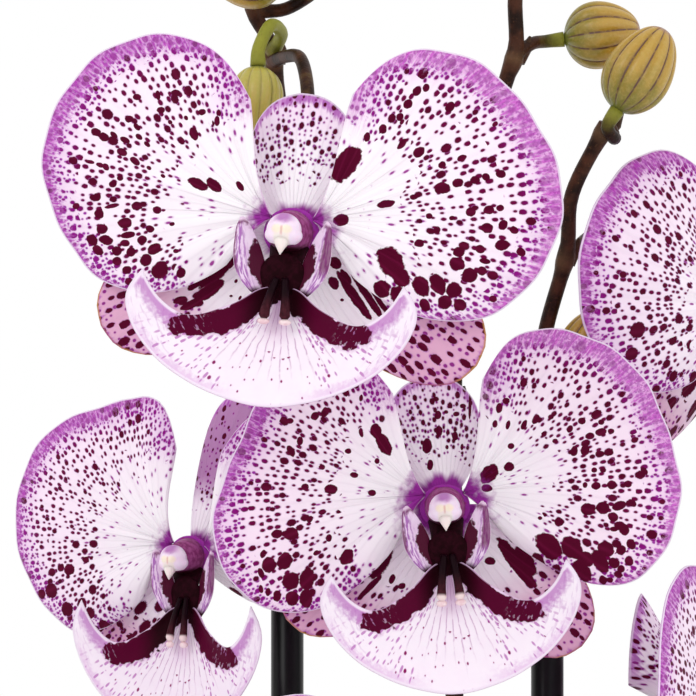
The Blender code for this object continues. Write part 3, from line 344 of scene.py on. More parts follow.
# Leaves, crown and roots, as in the CAD. The outline gives a leaf's width along it, both as shares
# of the full ones; each leaf has its side, height, length, heading, rise and droop (degrees).
CROWN_SIZE = (18 * MM, 24 * MM, 58 * MM)
CROWN_FOOT = 100 * MM
GAP = 0.3 * MM
LEAF_WIDTH = 70 * MM
LEAF_THICKNESS = 2.2 * MM
LEAF_KEEL = 0.30
LEAF_STEPS = 40
LEAF_BEND = 1.25
LEAF_FLATTENING = 0.55
LEAF_FULL_LENGTH = 190 * MM
LEAF_HOLD = 8
LEAF_GRID = (72, 24)
LEAF_OUTLINE = ((0, 0.30), (0.12, 0.42), (0.30, 0.74), (0.50, 0.96), (0.66, 1),
                (0.82, 0.88), (0.93, 0.60), (1, 0.20))
LEAVES = {
    "leaf_left_1": (-1, 119 * MM, 205 * MM, 9, 24, 62),
    "leaf_left_2": (-1, 132 * MM, 215 * MM, -3, 41, 66),
    "leaf_left_3": (-1, 145 * MM, 165 * MM, 14, 60, 58),
    "leaf_right_1": (1, 122 * MM, 195 * MM, -7, 27, 66),
    "leaf_right_2": (1, 136 * MM, 220 * MM, -13, 46, 70),
    "leaf_right_3": (1, 149 * MM, 140 * MM, 3, 66, 48),
}
ROOT_RADIUS = 2.6 * MM
ROOT_TAPER = 0.8
ROOT_STEPS = (11 * MM, 1.6 * MM)
ROOT_ROUTES = {
    "root_front_left": ((-4, -12.4, 117), (-4, -17, 117.5), (-9, -31, 123), (-17, -52, 128),
                        (-23, -68, 119), (-25, -72, 102), (-31, -75, 86)),
    "root_front_right": ((4.5, -12.4, 120), (4.5, -17, 120), (13, -31, 127), (24, -50, 128),
                         (33, -65, 122), (37, -71, 106), (35, -76, 90), (40, -78, 79)),
    "root_short": ((-0.5, -12.4, 128), (-0.5, -17, 128.5), (1, -26, 127), (3, -38, 120),
                   (2, -46, 115.5)),
    "root_back": ((0.5, 12.4, 116), (0.5, 17, 116.5), (-2, 31, 122), (-6, 52, 128),
                  (-9, 67, 122), (-8, 74, 106), (-12, 78, 92)),
}

# Petal margins: deep, pale and line colour
MARGIN_COLOURS = {"left": ("#B040B0", "#D28AD2", "#982A98"),
                  "right": ("#CA66C6", "#E0A2DC", "#A836A4")}
# Petals' ground colour and share of middle-sized spots, by bloom
PETAL_TONES = {"_a": ("#F8E8F5", 0.26), "_b": ("#F6E0F1", 0.42), "other": ("#F6E2F3", 0.38)}

# Stakes, as in the CAD: x and y, radius, and heights of both ends
STAKES = {"stake_left": (-28.4 * MM, 36 * MM), "stake_right": (29 * MM, 36 * MM)}
STAKE_RADIUS = 3.6 * MM
STAKE_HEIGHTS = (34 * MM, 500 * MM)

# Pot and growing medium, as in the CAD
POT_HEIGHT = 120 * MM
POT_TOP_RADIUS = 65 * MM
POT_COLLAR_HEIGHT = 22 * MM
POT_COLLAR_STEP = 2.5 * MM
POT_BASE_RADIUS = 53 * MM
POT_WALL = 4.5 * MM
POT_FLOOR = 7 * MM
POT_THICKENING = 1 * MM
POT_ROUNDING = 1.6 * MM
MEDIUM_TOP = 107 * MM
CHIP_COUNT = 190
CHIP_SEED = 11
# Round places where chips are small, at the crown and the stakes: x, y and radius
CHIP_GAPS = [(0, 0, 17 * MM)] + [(x, y, 7 * MM) for x, y in STAKES.values()]


def linear(code):
    """Linear colour of a hex code."""
    shades = [int(code[i:i + 2], 16) / 255 for i in (1, 3, 5)]
    return tuple(c / 12.92 if c <= 0.04045 else ((c + 0.055) / 1.055) ** 2.4
                 for c in shades) + (1,)


def smooth_value(pairs, x):
    """Heights at x of a smooth curve through (x, height) pairs."""
    places = np.array([p[0] for p in pairs], float)
    heights = np.array([p[1] for p in pairs], float)
    last = len(pairs) - 1
    low = np.maximum(np.arange(last + 1) - 1, 0)
    high = np.minimum(np.arange(last + 1) + 1, last)
    slopes = (heights[high] - heights[low]) / (places[high] - places[low])
    x = np.clip(x, places[0], places[-1])
    index = np.clip(np.searchsorted(places, x, side="left") - 1, 0, last - 1)
    span = places[index + 1] - places[index]
    u = (x - places[index]) / span
    return ((2 * u ** 3 - 3 * u ** 2 + 1) * heights[index]
            + (u ** 3 - 2 * u ** 2 + u) * span * slopes[index]
            + (3 * u ** 2 - 2 * u ** 3) * heights[index + 1]
            + (u ** 3 - u ** 2) * span * slopes[index + 1])


def smooth_route(points, step):
    """Points about one step apart on a smooth curve through the given points."""
    points = [Vector(p) for p in points]
    ends = [2 * points[0] - points[1]] + points + [2 * points[-1] - points[-2]]
    route = [points[0]]
    for i in range(1, len(ends) - 2):
        before, start, end, after = ends[i - 1:i + 3]
        parts = max(1, round((end - start).length / step))
        for k in range(1, parts + 1):
            u = k / parts
            route.append(0.5 * (2 * start + (end - before) * u
                                + (2 * before - 5 * start + 4 * end - after) * u ** 2
                                + (3 * start - before - 3 * end + after) * u ** 3))
    return route


def fine_route(points, coarse, fine):
    """A route that is smoothed twice, in coarse and then in fine steps."""
    return smooth_route(smooth_route(points, coarse), fine)


def in_photo(points):
    """Pixel places of world points in the photograph."""
    ahead = points[:, 1] - CAMERA_PLACE[1]
    across = PHOTO_WIDTH / 2 + PHOTO_FOCAL * (points[:, 0] - CAMERA_PLACE[0]) / ahead
    down = PHOTO_WIDTH / 2 - PHOTO_FOCAL * (points[:, 2] - CAMERA_PLACE[2]) / ahead
    return triple(across, down, ahead)


def metres(places):
    return [Vector(place) * MM for place in places]


def triple(first, second, third):
    """Rows of three numbers from three arrays or single numbers."""
    return np.stack(np.broadcast_arrays(first, second, third), axis=-1)


class Gathered:
    """Points, faces and painted values of one piece, gathered bit by bit."""

    def __init__(self):
        self.points, self.faces, self.parts = [], [], []
        self.blade, self.side = [], []
        self.count = 0

    def add(self, points, faces, part="whole", blade=(0, 0, 0), side=(0, 0, 0)):
        """Adds faces and their points, each with two rows of three values for the material.

        On a petal or sepal, blade is the angle and the distances from root and edge, and side is
        1 in front or 0 behind, the width of the tinted margin, and a seed.
        """
        points = np.asarray(points, float)
        self.points.append(points)
        self.blade.append(np.broadcast_to(blade, points.shape))
        self.side.append(np.broadcast_to(side, points.shape))
        self.faces += [[i + self.count for i in face] for face in faces]
        self.parts += [part] * len(faces)
        self.count += len(points)

    def build(self, materials, nodes, matrix=Matrix()):
        """The finished piece, which rides on the part and stands for its CAD nodes.

        It takes the materials by part, and the matrix that puts it in its place.
        """
        name = nodes[0] + "_fine"
        local = np.concatenate(self.points)
        matrix = np.array(matrix)
        points = local @ matrix[:3, :3].T + matrix[:3, 3]
        mesh = bpy.data.meshes.new(name)
        mesh.from_pydata(points.tolist(), [], self.faces)
        numbers = {part: number for number, part in enumerate(materials)}
        mesh.polygons.foreach_set("material_index", [numbers[part] for part in self.parts])
        painted = {"blade": np.concatenate(self.blade), "side": np.concatenate(self.side),
                   "seen": in_photo(points), "own": forward_point(*local.T) / MM}
        for key, values in painted.items():
            layer = mesh.attributes.new(key, "FLOAT_VECTOR", "POINT")
            layer.data.foreach_set("vector", np.ascontiguousarray(values, np.float32).ravel())
        for material in materials.values():
            mesh.materials.append(material)
        mesh.shade_smooth()
        obj = bpy.data.objects.new(name, mesh)
        bpy.context.scene.collection.objects.link(obj)
        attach(obj, "root")
        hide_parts(*nodes)


def make_one(node, material, slot, points, faces, matrix=Matrix(), **values):
    """A piece of one material that stands for one CAD node."""
    gathered = Gathered()
    gathered.add(points, faces, **values)
    gathered.build({"whole": material}, [node], matrix)


def shell_faces(index):
    """Faces of two grids of numbered points, one behind the other, and of the rim between."""
    corners = (index[:-1, :-1], index[:-1, 1:], index[1:, 1:], index[1:, :-1])
    quads = np.stack(corners, axis=2).reshape(-1, 4)
    loop = np.concatenate([index[0, :-1], index[:-1, -1], index[-1, :0:-1], index[:0:-1, 0]])
    after = np.roll(loop, -1)
    rim = np.stack([after, loop, loop + index.size, after + index.size], axis=1)
    return np.concatenate([quads, quads[:, ::-1] + index.size, rim])


def shell(surface, rows, columns, thickness, front, rim=0.35):
    """A thin closed blade over surface(s, t): points, faces, places on it and front share."""
    s, t = np.meshgrid(np.linspace(0, 1, rows + 1), np.linspace(-1, 1, columns + 1),
                       indexing="ij")
    middle, places = surface(s, t)
    normal = np.cross(np.gradient(middle, axis=0), np.gradient(middle, axis=1))
    normal /= np.maximum(np.linalg.norm(normal, axis=2, keepdims=True), 1e-12)
    turned_over = (normal @ np.array(front, float)).mean() < 0
    if turned_over:
        normal = -normal
    inward = np.clip(np.minimum((1 - s) / 0.12, (1 - np.abs(t)) / 0.10), 0, 1)
    half = (thickness / 2 * (rim + (1 - rim) * np.sqrt(inward)))[:, :, None]
    size = (rows + 1) * (columns + 1)
    points = np.concatenate([(middle + normal * half).reshape(-1, 3),
                             (middle - normal * half).reshape(-1, 3)])
    faces = shell_faces(np.arange(size).reshape(rows + 1, columns + 1))
    if not turned_over:
        faces = faces[:, ::-1]
    places = np.tile(places.reshape(size, -1), (2, 1))
    return points, faces.tolist(), places, np.repeat((1, 0), size)


def closed_faces(rings, sides, flip=False):
    """Faces round rings of points, closed by two points that come after the rings."""
    faces = []
    for low in range(0, (rings - 1) * sides, sides):
        for k in range(sides):
            n = (k + 1) % sides
            faces.append([low + k, low + n, low + sides + n, low + sides + k])
    first, last = rings * sides, (rings - 1) * sides
    for k in range(sides):
        n = (k + 1) % sides
        faces += [[first, n, k], [first + 1, last + k, last + n]]
    if flip:
        faces = [[face[0]] + face[:0:-1] for face in faces]
    return faces


def tube(route, radii, sides):
    """Points, faces and length of a closed round tube along a route."""
    route = [Vector(p) for p in route]
    ways = [(route[min(i + 1, len(route) - 1)] - route[max(i - 1, 0)]).normalized()
            for i in range(len(route))]
    across = ways[0].orthogonal().normalized()
    points, along, travelled = [], [], 0
    for i, (place, way, radius) in enumerate(zip(route, ways, radii)):
        across = (across - way * across.dot(way)).normalized()
        up = way.cross(across)
        travelled += (place - route[i - 1]).length if i else 0
        for k in range(sides):
            turn = 2 * math.pi * k / sides
            points.append(place + (across * math.cos(turn) + up * math.sin(turn)) * radius)
            along.append(travelled)
    points += [route[0], route[-1]]
    along += [0, travelled]
    return np.array(points), closed_faces(len(route), sides), np.array(along)


def forward_point(x, forward, z):
    """Points of a bloom's own frame, whose face looks along -Y."""
    return triple(x, -forward, z)


def scallop(t, phase):
    """A faint unevenness of a petal's outline."""
    return 1 + 0.006 * np.sin(11 * t + phase) + 0.004 * np.sin(27 * t + 2 * phase)


def place_on(angle, full, s, spread):
    """Angle, distance from the root and from the edge (millimetres) of points on a blade."""
    return triple(angle, s * full, np.minimum((1 - s) * full, s * full * np.radians(spread)))


def petal_surface(name, side, phase):
    outline = OWN_OUTLINES.get((name, side), PETAL_OUTLINE)
    low, high = outline[0][0], outline[-1][0]
    middle, half = (low + high) / 2, (high - low) / 2

    def surface(s, t):
        s = PETAL_START + (1 - PETAL_START) * s
        full = smooth_value(outline, middle + half * t) * scallop(t, phase)
        reach = s * full * MM
        angle = np.radians(middle + half * t * (1 - PETAL_GATHER * (1 - s) ** 2))
        forward = (PETAL_FORWARD + PETAL_BULGE * np.sin(np.pi * s)
                   - PETAL_RECURVE * s ** 2 * (1 - t ** 2)
                   + MARGIN_WAVE * s ** 3 * np.sin(PETAL_WAVES * t + phase)
                   + PETAL_CREASE * s * (1 - s)
                   * np.sin(PETAL_CREASES * t + 2 * np.sin(3 * t + phase)))
        x = side * (PETAL_ROOT[0] + reach * np.cos(angle))
        return (forward_point(x, forward, PETAL_ROOT[1] + reach * np.sin(angle)),
                place_on(middle + half * t, full, s, half * (1 - np.abs(t))))
    return surface


def sepal_surface(outline, heading, recurve, phase):
    half = outline[-1][0]

    def surface(s, t):
        s = SEPAL_START + (1 - SEPAL_START) * s
        full = smooth_value(outline, np.abs(half * t))
        reach = s * full * MM
        angle = np.radians(heading - half * t * (1 + SEPAL_SPREAD * (1 - s)))
        forward = (-SEPAL_BACK - recurve * s ** SEPAL_LEAN
                   + 0.5 * MARGIN_WAVE * s ** 3 * np.sin(SEPAL_WAVES * t + phase))
        return (forward_point(reach * np.cos(angle), forward, reach * np.sin(angle)),
                place_on(half * t, full, s, half * (1 - np.abs(t))))
    return surface


def lip_surface(s, t):
    """The lip's blade; its places have a fourth value, the distance along the arc to its edge."""
    loose = smooth_value(LIP_EDGE, s) * (1 - np.abs(t))
    s = LIP_START + (1 - LIP_START) * s
    full = smooth_value(LIP_OUTLINE, np.abs(LIP_EDGE[-1][1] * t))
    spread = smooth_value(LIP_EDGE, s)
    angle = np.radians(spread * t)
    reach = s * full * MM
    forward = (LIP_THROAT[0] + LIP_REACH * s - LIP_DROOP * s ** 2
               - LIP_DISH * np.sin(np.pi * s) * (1 - t ** 2))
    places = place_on(spread * t, full, s, spread * (1 - np.abs(t)))
    upper = s * full * np.radians(loose)
    return (forward_point(reach * np.sin(angle), forward,
                          LIP_THROAT[1] - reach * np.cos(angle)),
            np.concatenate([places, upper[..., None]], axis=-1))


def wing_surface(side):
    """A side lobe: t runs from its edge beside the column to its outer edge, which rolls back."""
    def surface(s, t):
        x = (smooth_value(WING_MIDDLE, s) + smooth_value(WING_HALF, s) * t) * MM
        forward = (WING_FORWARD + WING_TWIST * t * np.sin(np.pi * (0.15 + 0.7 * s))
                   - WING_ROLL * np.maximum(t, 0) ** 3)
        z = WING_HEIGHTS[0] + (WING_HEIGHTS[1] - WING_HEIGHTS[0]) * (s - 0.04 * s * t ** 2)
        return forward_point(side * x, forward, z), triple(s, t, np.minimum(1 - s, 1 - np.abs(t)))
    return surface


def band_distance(points):
    """Distance (millimetres) from the lip's dark band, negative inside it."""
    x = np.abs(points[:, 0]) / MM
    z = (points[:, 2] - LIP_THROAT[1]) / MM
    nearest = np.full(len(points), 99)
    for (x0, z0, r0), (x1, z1, r1) in zip(LIP_BAND, LIP_BAND[1:]):
        long = (x1 - x0) ** 2 + (z1 - z0) ** 2
        u = np.clip(((x - x0) * (x1 - x0) + (z - z0) * (z1 - z0)) / long, 0, 1)
        gap = np.hypot(x - x0 - u * (x1 - x0), z - z0 - u * (z1 - z0))
        nearest = np.minimum(nearest, gap - (r0 + u * (r1 - r0)))
    return nearest


def bloom_matrix(name):
    face, turn, nod, roll, size = BLOOMS[name][:5]
    way = (Matrix.Rotation(math.radians(turn), 4, "Z") @ Matrix.Rotation(math.radians(nod), 4, "X")
           @ Matrix.Rotation(math.radians(roll), 4, "Y"))
    offset = way @ (size * Vector((0, -FACE_FORWARD, 0)))
    return Matrix.Translation(Vector(face) * MM - offset) @ way @ Matrix.Scale(size, 4)


# Shader building

class Value:
    """A value inside a material; the signs of arithmetic add the nodes for it."""

    def __init__(self, tree, socket):
        self.tree = tree
        self.socket = socket

    def __add__(self, other):
        return self.tree.calc("ADD", self, other)

    def __sub__(self, other):
        return self.tree.calc("SUBTRACT", self, other)

    def __mul__(self, other):
        return self.tree.calc("MULTIPLY", self, other)

    def __truediv__(self, other):
        return self.tree.calc("DIVIDE", self, other)

    def __abs__(self):
        return self.tree.calc("ABSOLUTE", self)

    def step(self, low, high, out_low=0, out_high=1, kind="SMOOTHSTEP"):
        """Ramp from out_low at low to out_high at high; low may be above high."""
        return self.tree.node("MapRange", (self, low, high, out_low, out_high),
                              interpolation_type=kind)[0]


class Tree:
    """A material's node tree, with short ways to add nodes and join them."""

    def __init__(self, name, roughness=0.5, gloss=0.12):
        self.material = bpy.data.materials.new(name)
        self.material.use_nodes = True
        self.shader = self.material.node_tree.nodes["Principled BSDF"].inputs
        self.put(self.shader["Roughness"], roughness)
        self.put(self.shader["Specular IOR Level"], gloss)

    def put(self, socket, value):
        if isinstance(value, Value):
            self.material.node_tree.links.new(value.socket, socket)
        else:
            socket.default_value = linear(value) if isinstance(value, str) else value

    def node(self, kind, inputs=(), **settings):
        """The values that come out of a new node; its inputs are given in order or by key."""
        node = self.material.node_tree.nodes.new("ShaderNode" + kind)
        for name, setting in settings.items():
            setattr(node, name, setting)
        for key, value in inputs.items() if isinstance(inputs, dict) else enumerate(inputs):
            self.put(node.inputs[key], value)
        return [Value(self, socket) for socket in node.outputs]

    def calc(self, operation, *values):
        return self.node("Math", values, operation=operation)[0]

    def vector(self, *parts):
        return self.node("CombineXYZ", parts)[0]

    def painted(self, name):
        return self.node("Attribute", attribute_name=name)[1]

    def parts(self, vector):
        """The three parts of a vector or of a painted one that is given by its name."""
        if isinstance(vector, str):
            vector = self.painted(vector)
        return self.node("SeparateXYZ", (vector,))

    def noise(self, place, scale, detail=2):
        """Soft noise at a vector or at a row of its parts."""
        if isinstance(place, tuple):
            place = self.vector(*place)
        return self.node("TexNoise", {"Vector": place, "Scale": scale, "Detail": detail})[0]

    def mix(self, share, first, second):
        return self.node("Mix", {0: share, 6: first, 7: second}, data_type="RGBA")[2]

    def chance(self, value):
        """A random number for each whole value."""
        return self.node("TexWhiteNoise", {"W": value}, noise_dimensions="1D")[0]

    def draws(self, *place):
        """Three random numbers for each whole place."""
        return self.parts(self.node("TexWhiteNoise", {"Vector": self.vector(*place)})[1])

    def length(self, first, second):
        return self.calc("SQRT", first * first + second * second)

    def spots(self, fan, reach, seed, width, length, share, small, large, stretch=1.3):
        """Rows of spots along the veins: distance (millimetres) from the nearest, below 0 inside.

        Each has the room of one cell, width degrees by length millimetres. Share is how many
        cells hold one, small and large are the radii, and stretch makes them longer than wide.
        """
        column = fan / width
        number = self.calc("FLOOR", column)
        stagger = self.chance(number + seed * 7)
        row = reach / length + stagger * 5
        level = self.calc("FLOOR", row)
        aside, along, bulk = self.draws(number, level, seed)
        luck = self.draws(number, level, seed + 500)[0]
        wide = reach * (width * math.pi / 180)
        across = (self.calc("FRACT", column) + aside * -0.44 - 0.28) * wide
        down = (self.calc("FRACT", row) + along * -0.44 - 0.28) * (length / stretch)
        radius = bulk * bulk * (large - small) + small
        radius = self.calc("MINIMUM", radius, wide * 0.33)
        ragged = (self.noise((fan * 0.9, reach * 1.1, seed), 1.5) - 0.5) * 0.45
        gap = self.length(across, down) + radius * (ragged - 1)
        return gap + self.calc("GREATER_THAN", luck, share) * 9

    def marks(self, rows):
        """Marks at places in the photograph: 1 inside.

        Lean turns the long axis from the right toward the top.
        """
        across, down, _ = self.parts("seen")
        flat = self.vector(across, down * -1)
        ragged = self.noise(flat, 0.16)
        nearest = 9
        for x, y, long, wide, lean in rows:
            place = self.node("Mapping", {"Location": (x, -y, 0), "Vector": flat,
                                          "Rotation": (0, 0, math.radians(lean)),
                                          "Scale": (long, wide, 1)}, vector_type="TEXTURE")[0]
            away = self.node("VectorMath", (place,), operation="LENGTH")[1]
            nearest = self.calc("MINIMUM", away, nearest)
        return (nearest + (ragged - 0.5) * 0.55).step(1.07, 0.95)

    def finish(self, colour, height=None, depth=0, soft=0):
        self.put(self.shader["Base Color"], colour)
        if height is not None:
            bump = self.node("Bump", {"Strength": 1, "Distance": depth, "Height": height})[0]
            self.put(self.shader["Normal"], bump)
        if soft:
            self.put(self.shader["Subsurface Weight"], soft)
            self.put(self.shader["Subsurface Radius"], (1, 0.55, 0.7))
            self.put(self.shader["Subsurface Scale"], 1.5 * MM)
        return self.material


def vein_lines(tree, fan, reach, spacing):
    """Dark at fine veins that fan out from a blade's root: 1 on a vein."""
    bend = (tree.noise((fan * 0.05, reach * 0.08), 1) - 0.5) * 4
    turn = (fan + bend) * (2 * math.pi / spacing)
    wave = tree.calc("COSINE", turn)
    return tree.calc("POWER", wave.step(-1, 1, kind="LINEAR"), 7)


def spotted(tree, colour, gap, dark, strength=1, halo="#B265B8"):
    """The colour with spots on it: dark inside, with a soft purple edge."""
    colour = tree.mix(gap.step(0.25, 0) * 0.38, colour, halo)
    return tree.mix(gap.step(0.05, -0.07) * strength, colour, dark)


def flushed(tree, colour, away, name, fade):
    """The colour with a purple flush round the column, wider in bloom_b; fade is its soft rim."""
    radius = 6.8 if name.endswith("_b") else 5.6
    return tree.mix(away.step(radius + fade, radius - 1), colour, "#9A309C")


def petal_material(name):
    """A petal: spots in rows along its veins, a streaked margin with a pale rim, a halo, and painted
    shade in its soft creases.
    """
    tree = Tree(name, 0.5, 0.05)
    fan, reach, edge = tree.parts("blade")
    front, band, seed = tree.parts("side")
    own_x, _, own_z = tree.parts("own")
    seed = tree.calc("ROUND", seed)
    shift = seed * 0.37

    right = "right" in name
    ground_colour, middle_share = PETAL_TONES.get(name[-2:], PETAL_TONES["other"])
    lower = fan.step(10, -20)
    cloud = tree.noise((fan * 0.06, reach * 0.1, shift), 1)
    zone = (reach + (cloud - 0.5) * 14).step(17, 26)
    open_zone = reach.step(7, 17) * reach.step(30, 20)
    fine_share = zone * (edge.step(14, 4) * 0.25 + 0.74)
    inward = reach.step(19, 28)
    fine = tree.spots(fan, reach, seed + 3, 2.45, 2, fine_share, 0.27, 0.66, 1.55)
    dust_share = edge.step(9, 3) * inward * 0.9
    dust = tree.spots(fan, reach, seed + 9, 1.5, 1.2, dust_share, 0.18, 0.34)
    middle = tree.spots(fan, reach, seed, 5, 3.6, zone * middle_share, 0.5, 1.05)
    dashes = tree.spots(fan, reach, seed + 5, 3.4, 2.9, open_zone * 0.34, 0.12, 0.28, 2.4)

    ground = tree.mix(reach.step(2, 40), "#FCF7FB", ground_colour)
    lilac = edge.step(10, 2) * inward * fan.step(-30, 15, 0.25, 1)
    ground = tree.mix(lilac * 0.42, ground, "#D08FD4")
    veins = vein_lines(tree, fan, reach, 6.5)
    # Painted shade: soft grey in the creases near the root; the same creases also dent the bump below
    crease = tree.noise((fan * 0.16, reach * 0.012, shift), 1)
    shade = crease.step(0.52, 0.68) * reach.step(36, 8)
    ground = tree.mix(shade * 0.14, ground, "#C4B4C4")
    ground = tree.mix(veins * 0.07, ground, "#A884A8")

    streak = tree.noise((fan * 1.5, reach * 0.35, shift), 1, 3)
    net = tree.noise((fan * 0.9, reach * 0.9, shift), 2.2)
    ragged = (streak - 0.5) * 5.5 + (net - 0.5) * 5
    width = band + (0.7 if right else 0)
    margin = (edge + ragged).step(width + 1.3, width - 1.1) * reach.step(17, 30)
    deep, pale, line = MARGIN_COLOURS["right" if right else "left"]
    margin_colour = tree.mix(streak.step(0.36, 0.64), deep, pale)
    margin_colour = tree.mix(net.step(0.48, 0.62), margin_colour, line)
    patchy = (streak + net * 0.6).step(0.62, 0.95, 1, 0.72)
    colour = tree.mix(margin * patchy, ground, margin_colour)
    dark = tree.mix(veins * 0.3, "#520024", "#761040")
    clear = margin * (-0.7 if right else -0.45) + 1
    colour = spotted(tree, colour, dust, "#96289A", clear)
    colour = spotted(tree, colour, dashes, "#9A3C90")
    spot_colour = tree.mix(edge.step(10, 3), "#66003A", "#8A1280")
    colour = spotted(tree, colour, fine, spot_colour, clear)
    colour = spotted(tree, colour, middle, dark, clear)
    if name in MARKS:
        colour = tree.mix(tree.marks(MARKS[name]), colour, dark)
    else:
        large = tree.spots(fan, reach, seed + 1, 8.5, 5.6, lower * zone * 0.68, 1, 2.2, 1.15)
        colour = spotted(tree, colour, large, dark)
    fleck = tree.noise(tree.painted("own"), 0.5, 3)
    wide = abs(own_x).step(1, 6, -1.5, 2)
    away = tree.length(own_x, own_z) - wide + (fleck - 0.5) * 7
    colour = flushed(tree, colour, away, name, 3.5)
    rim = edge.step(0.45, 0.2) * inward
    colour = tree.mix(rim, colour, "#F0DDF3")
    under = tree.calc("MINIMUM", middle, fine).step(0.35, -0.25)
    back = tree.mix(edge.step(16, 2), "#F3E6F1", "#E3C3E3")
    back = tree.mix(veins * 0.25, back, "#C9A0C8")
    back = tree.mix(under * 0.35, back, "#9C5E9C")
    back = tree.mix(margin * 0.55, back, "#C08ACB")
    colour = tree.mix(front, back, colour)
    height = veins * 0.3 + shade * -1.2
    return tree.finish(colour, height, 0.12 * MM, 0.05)


def sepal_material(name):
    """A sepal: dots in rows; the lateral ones are dull mauve outward, with dark bars near the lip."""
    tree = Tree(name, 0.52, 0.05)
    fan, reach, edge = tree.parts("blade")
    front, band, seed = tree.parts("side")
    own_x, _, own_z = tree.parts("own")
    seed = tree.calc("ROUND", seed)
    shift = seed * 0.37
    lateral = name.startswith("lateral")
    veins = vein_lines(tree, fan, reach, 4.6)
    cloud = tree.noise((fan * 0.08, reach * 0.12, shift), 1)
    if lateral:
        outward = (reach + cloud * 6).step(22, 36)
        ground = tree.mix(outward, "#FCF4FA", "#DDA9C6")
        dots = tree.spots(fan, reach, seed, 3.9, 3, outward * 0.95, 0.42, 0.85, 1.9)
        small = tree.spots(fan, reach, seed + 4, 2.2, 1.8, outward * 0.75, 0.2, 0.4)
        near_lip = reach.step(8, 12) * reach.step(34, 27)
        bars = tree.spots(fan, reach, seed + 2, 11, 9, near_lip, 1.1, 2, 2.2)
        rim = tree.mix(cloud.step(0.4, 0.6), "#C98F52", "#B0607E")
    else:
        top = (reach + cloud * 4).step(11, 18)
        ground = tree.mix(reach.step(14, 28), "#FFFBFE", "#F8E2F5")
        if name.endswith("_c"):
            ground = tree.mix(reach.step(11, 20), "#FBF3FA", "#B583B1")
            top = top * 0.55
        dots = tree.spots(fan, reach, seed, 4.2, 2, top * 0.66, 0.26, 0.62, 1.5)
        small = tree.spots(fan, reach, seed + 4, 2.8, 1.3, top * 0.7, 0.16, 0.32)
        rim = "#F0DDF3"
    streak = tree.noise((fan * 0.8, reach * 0.3, shift), 1, 3)
    margin = (edge + (streak - 0.5) * 4).step(band + 0.9, band - 0.7)
    margin = margin * reach.step(10, 17)
    colour = tree.mix(veins * 0.06, ground, "#A87CA4")
    margin_colour = tree.mix(streak.step(0.4, 0.62), "#A63CAC", "#CC86CE")
    colour = tree.mix(margin * 0.85, colour, margin_colour)
    colour = spotted(tree, colour, small, "#8C2C80")
    dark = tree.mix(veins * 0.28, "#520024", "#761040")
    colour = spotted(tree, colour, dots, dark)
    if name in MARKS:
        colour = tree.mix(tree.marks(MARKS[name]), colour, dark)
    elif lateral:
        colour = spotted(tree, colour, bars, dark)
    away = tree.length(own_x, own_z) + (cloud - 0.5) * 4
    colour = flushed(tree, colour, away, name, 1.5)
    outside = edge.step(0.6, 0.2) * reach.step(10, 16)
    colour = tree.mix(outside * 0.8, colour, rim)
    back = tree.mix(dots.step(0.3, -0.2) * 0.5, "#DDB9D2", "#9A5A8E")
    colour = tree.mix(front, back, colour)
    return tree.finish(colour, veins, 0.08 * MM, 0.05)


def lip_material():
    """The lip's blade: dark band and throat, vein lines, small dots and lilac horns."""
    tree = Tree("lip_blade", 0.45, 0.05)
    angle, reach, edge = tree.parts("blade")
    front, gap, upper = tree.parts("side")
    seed = 7
    own = tree.painted("own")
    aside = abs(tree.parts(own)[0])
    away = abs(angle)
    cloud = tree.noise(own, 0.35)
    fleck = tree.noise(own, 1.1, 3)
    ground = tree.mix(cloud * 0.5, "#F8EEF7", "#F0DCF0")
    ray = angle + (tree.noise(own, 0.3) - 0.5) * 4
    wave = tree.calc("COSINE", ray * (2 * math.pi / 7.2))
    line = tree.calc("POWER", wave.step(-1, 1, kind="LINEAR"), 18)
    length = tree.noise((angle * 0.2, 0), 1) * 12 + 13
    line = line * (away.step(58, 36) * (reach - length).step(1, -7))
    dash = tree.noise((angle * 0.14, reach * 0.55), 1)
    line = line * dash.step(0.36, 0.52, 0.25, 1)
    colour = tree.mix(line * 0.6, ground, "#9C3C96")
    wash = away.step(30, 4) * reach.step(13, 4)
    colour = tree.mix(wash * 0.5, colour, "#B855B4")
    share = reach.step(11, 16) * away.step(62, 35) * 0.55
    dots = tree.spots(angle, reach, seed, 5.5, 2.2, share, 0.12, 0.38, 1.2)
    colour = spotted(tree, colour, dots, "#8A1A5E", 1, "#E4C0E2")
    share = away.step(22, 36) * edge.step(11, 5) * 0.55
    net = tree.spots(angle, reach, seed + 40, 3.2, 1.5, share, 0.14, 0.3, 2.6)
    net_weight = away.step(80, 60) * 0.75
    colour = tree.mix(net.step(0.12, -0.1) * net_weight, colour, "#AE44AC")
    margin = (edge + (fleck - 0.5) * 4.5).step(3, 0.4)
    margin = margin * (away.step(8, 40) * away.step(84, 62))
    colour = tree.mix(margin * 0.45, colour, "#CE8ED0")
    hair = tree.noise((angle * 0.12, reach * 1.1), 1.3, 3)
    horn = aside.step(17, 22) * hair.step(0.52, 0.62)
    colour = tree.mix(horn * 0.25, colour, "#B062B8")
    fold = (upper + (fleck - 0.5) * 3).step(3.4, 1) * aside.step(12, 17)
    colour = tree.mix(fold * 0.7, colour, "#B050B4")
    colour = tree.mix(edge.step(0.6, 0.25), colour, "#F3E3F4")
    ragged = gap + (tree.noise(own, 0.5, 1) - 0.5) * 2.6 + (fleck - 0.5) * 0.9
    crack = tree.noise((angle * 0.16, reach * 1.3, seed), 1)
    crack = crack.step(0.58, 0.63) * aside.step(11, 16)
    band = ragged.step(0.12, -0.12) * (crack * -0.5 + 1)
    dark = tree.mix(aside.step(9, 3), "#520028", "#24020C")
    colour = tree.mix(ragged.step(0.9, 0) * 0.35, colour, "#B865B4")
    colour = tree.mix(band, colour, dark)
    back = tree.mix(cloud, "#E6CBE6", "#D3A0D2")
    colour = tree.mix(front, back, colour)
    return tree.finish(colour, line, 0.04 * MM, 0.05)


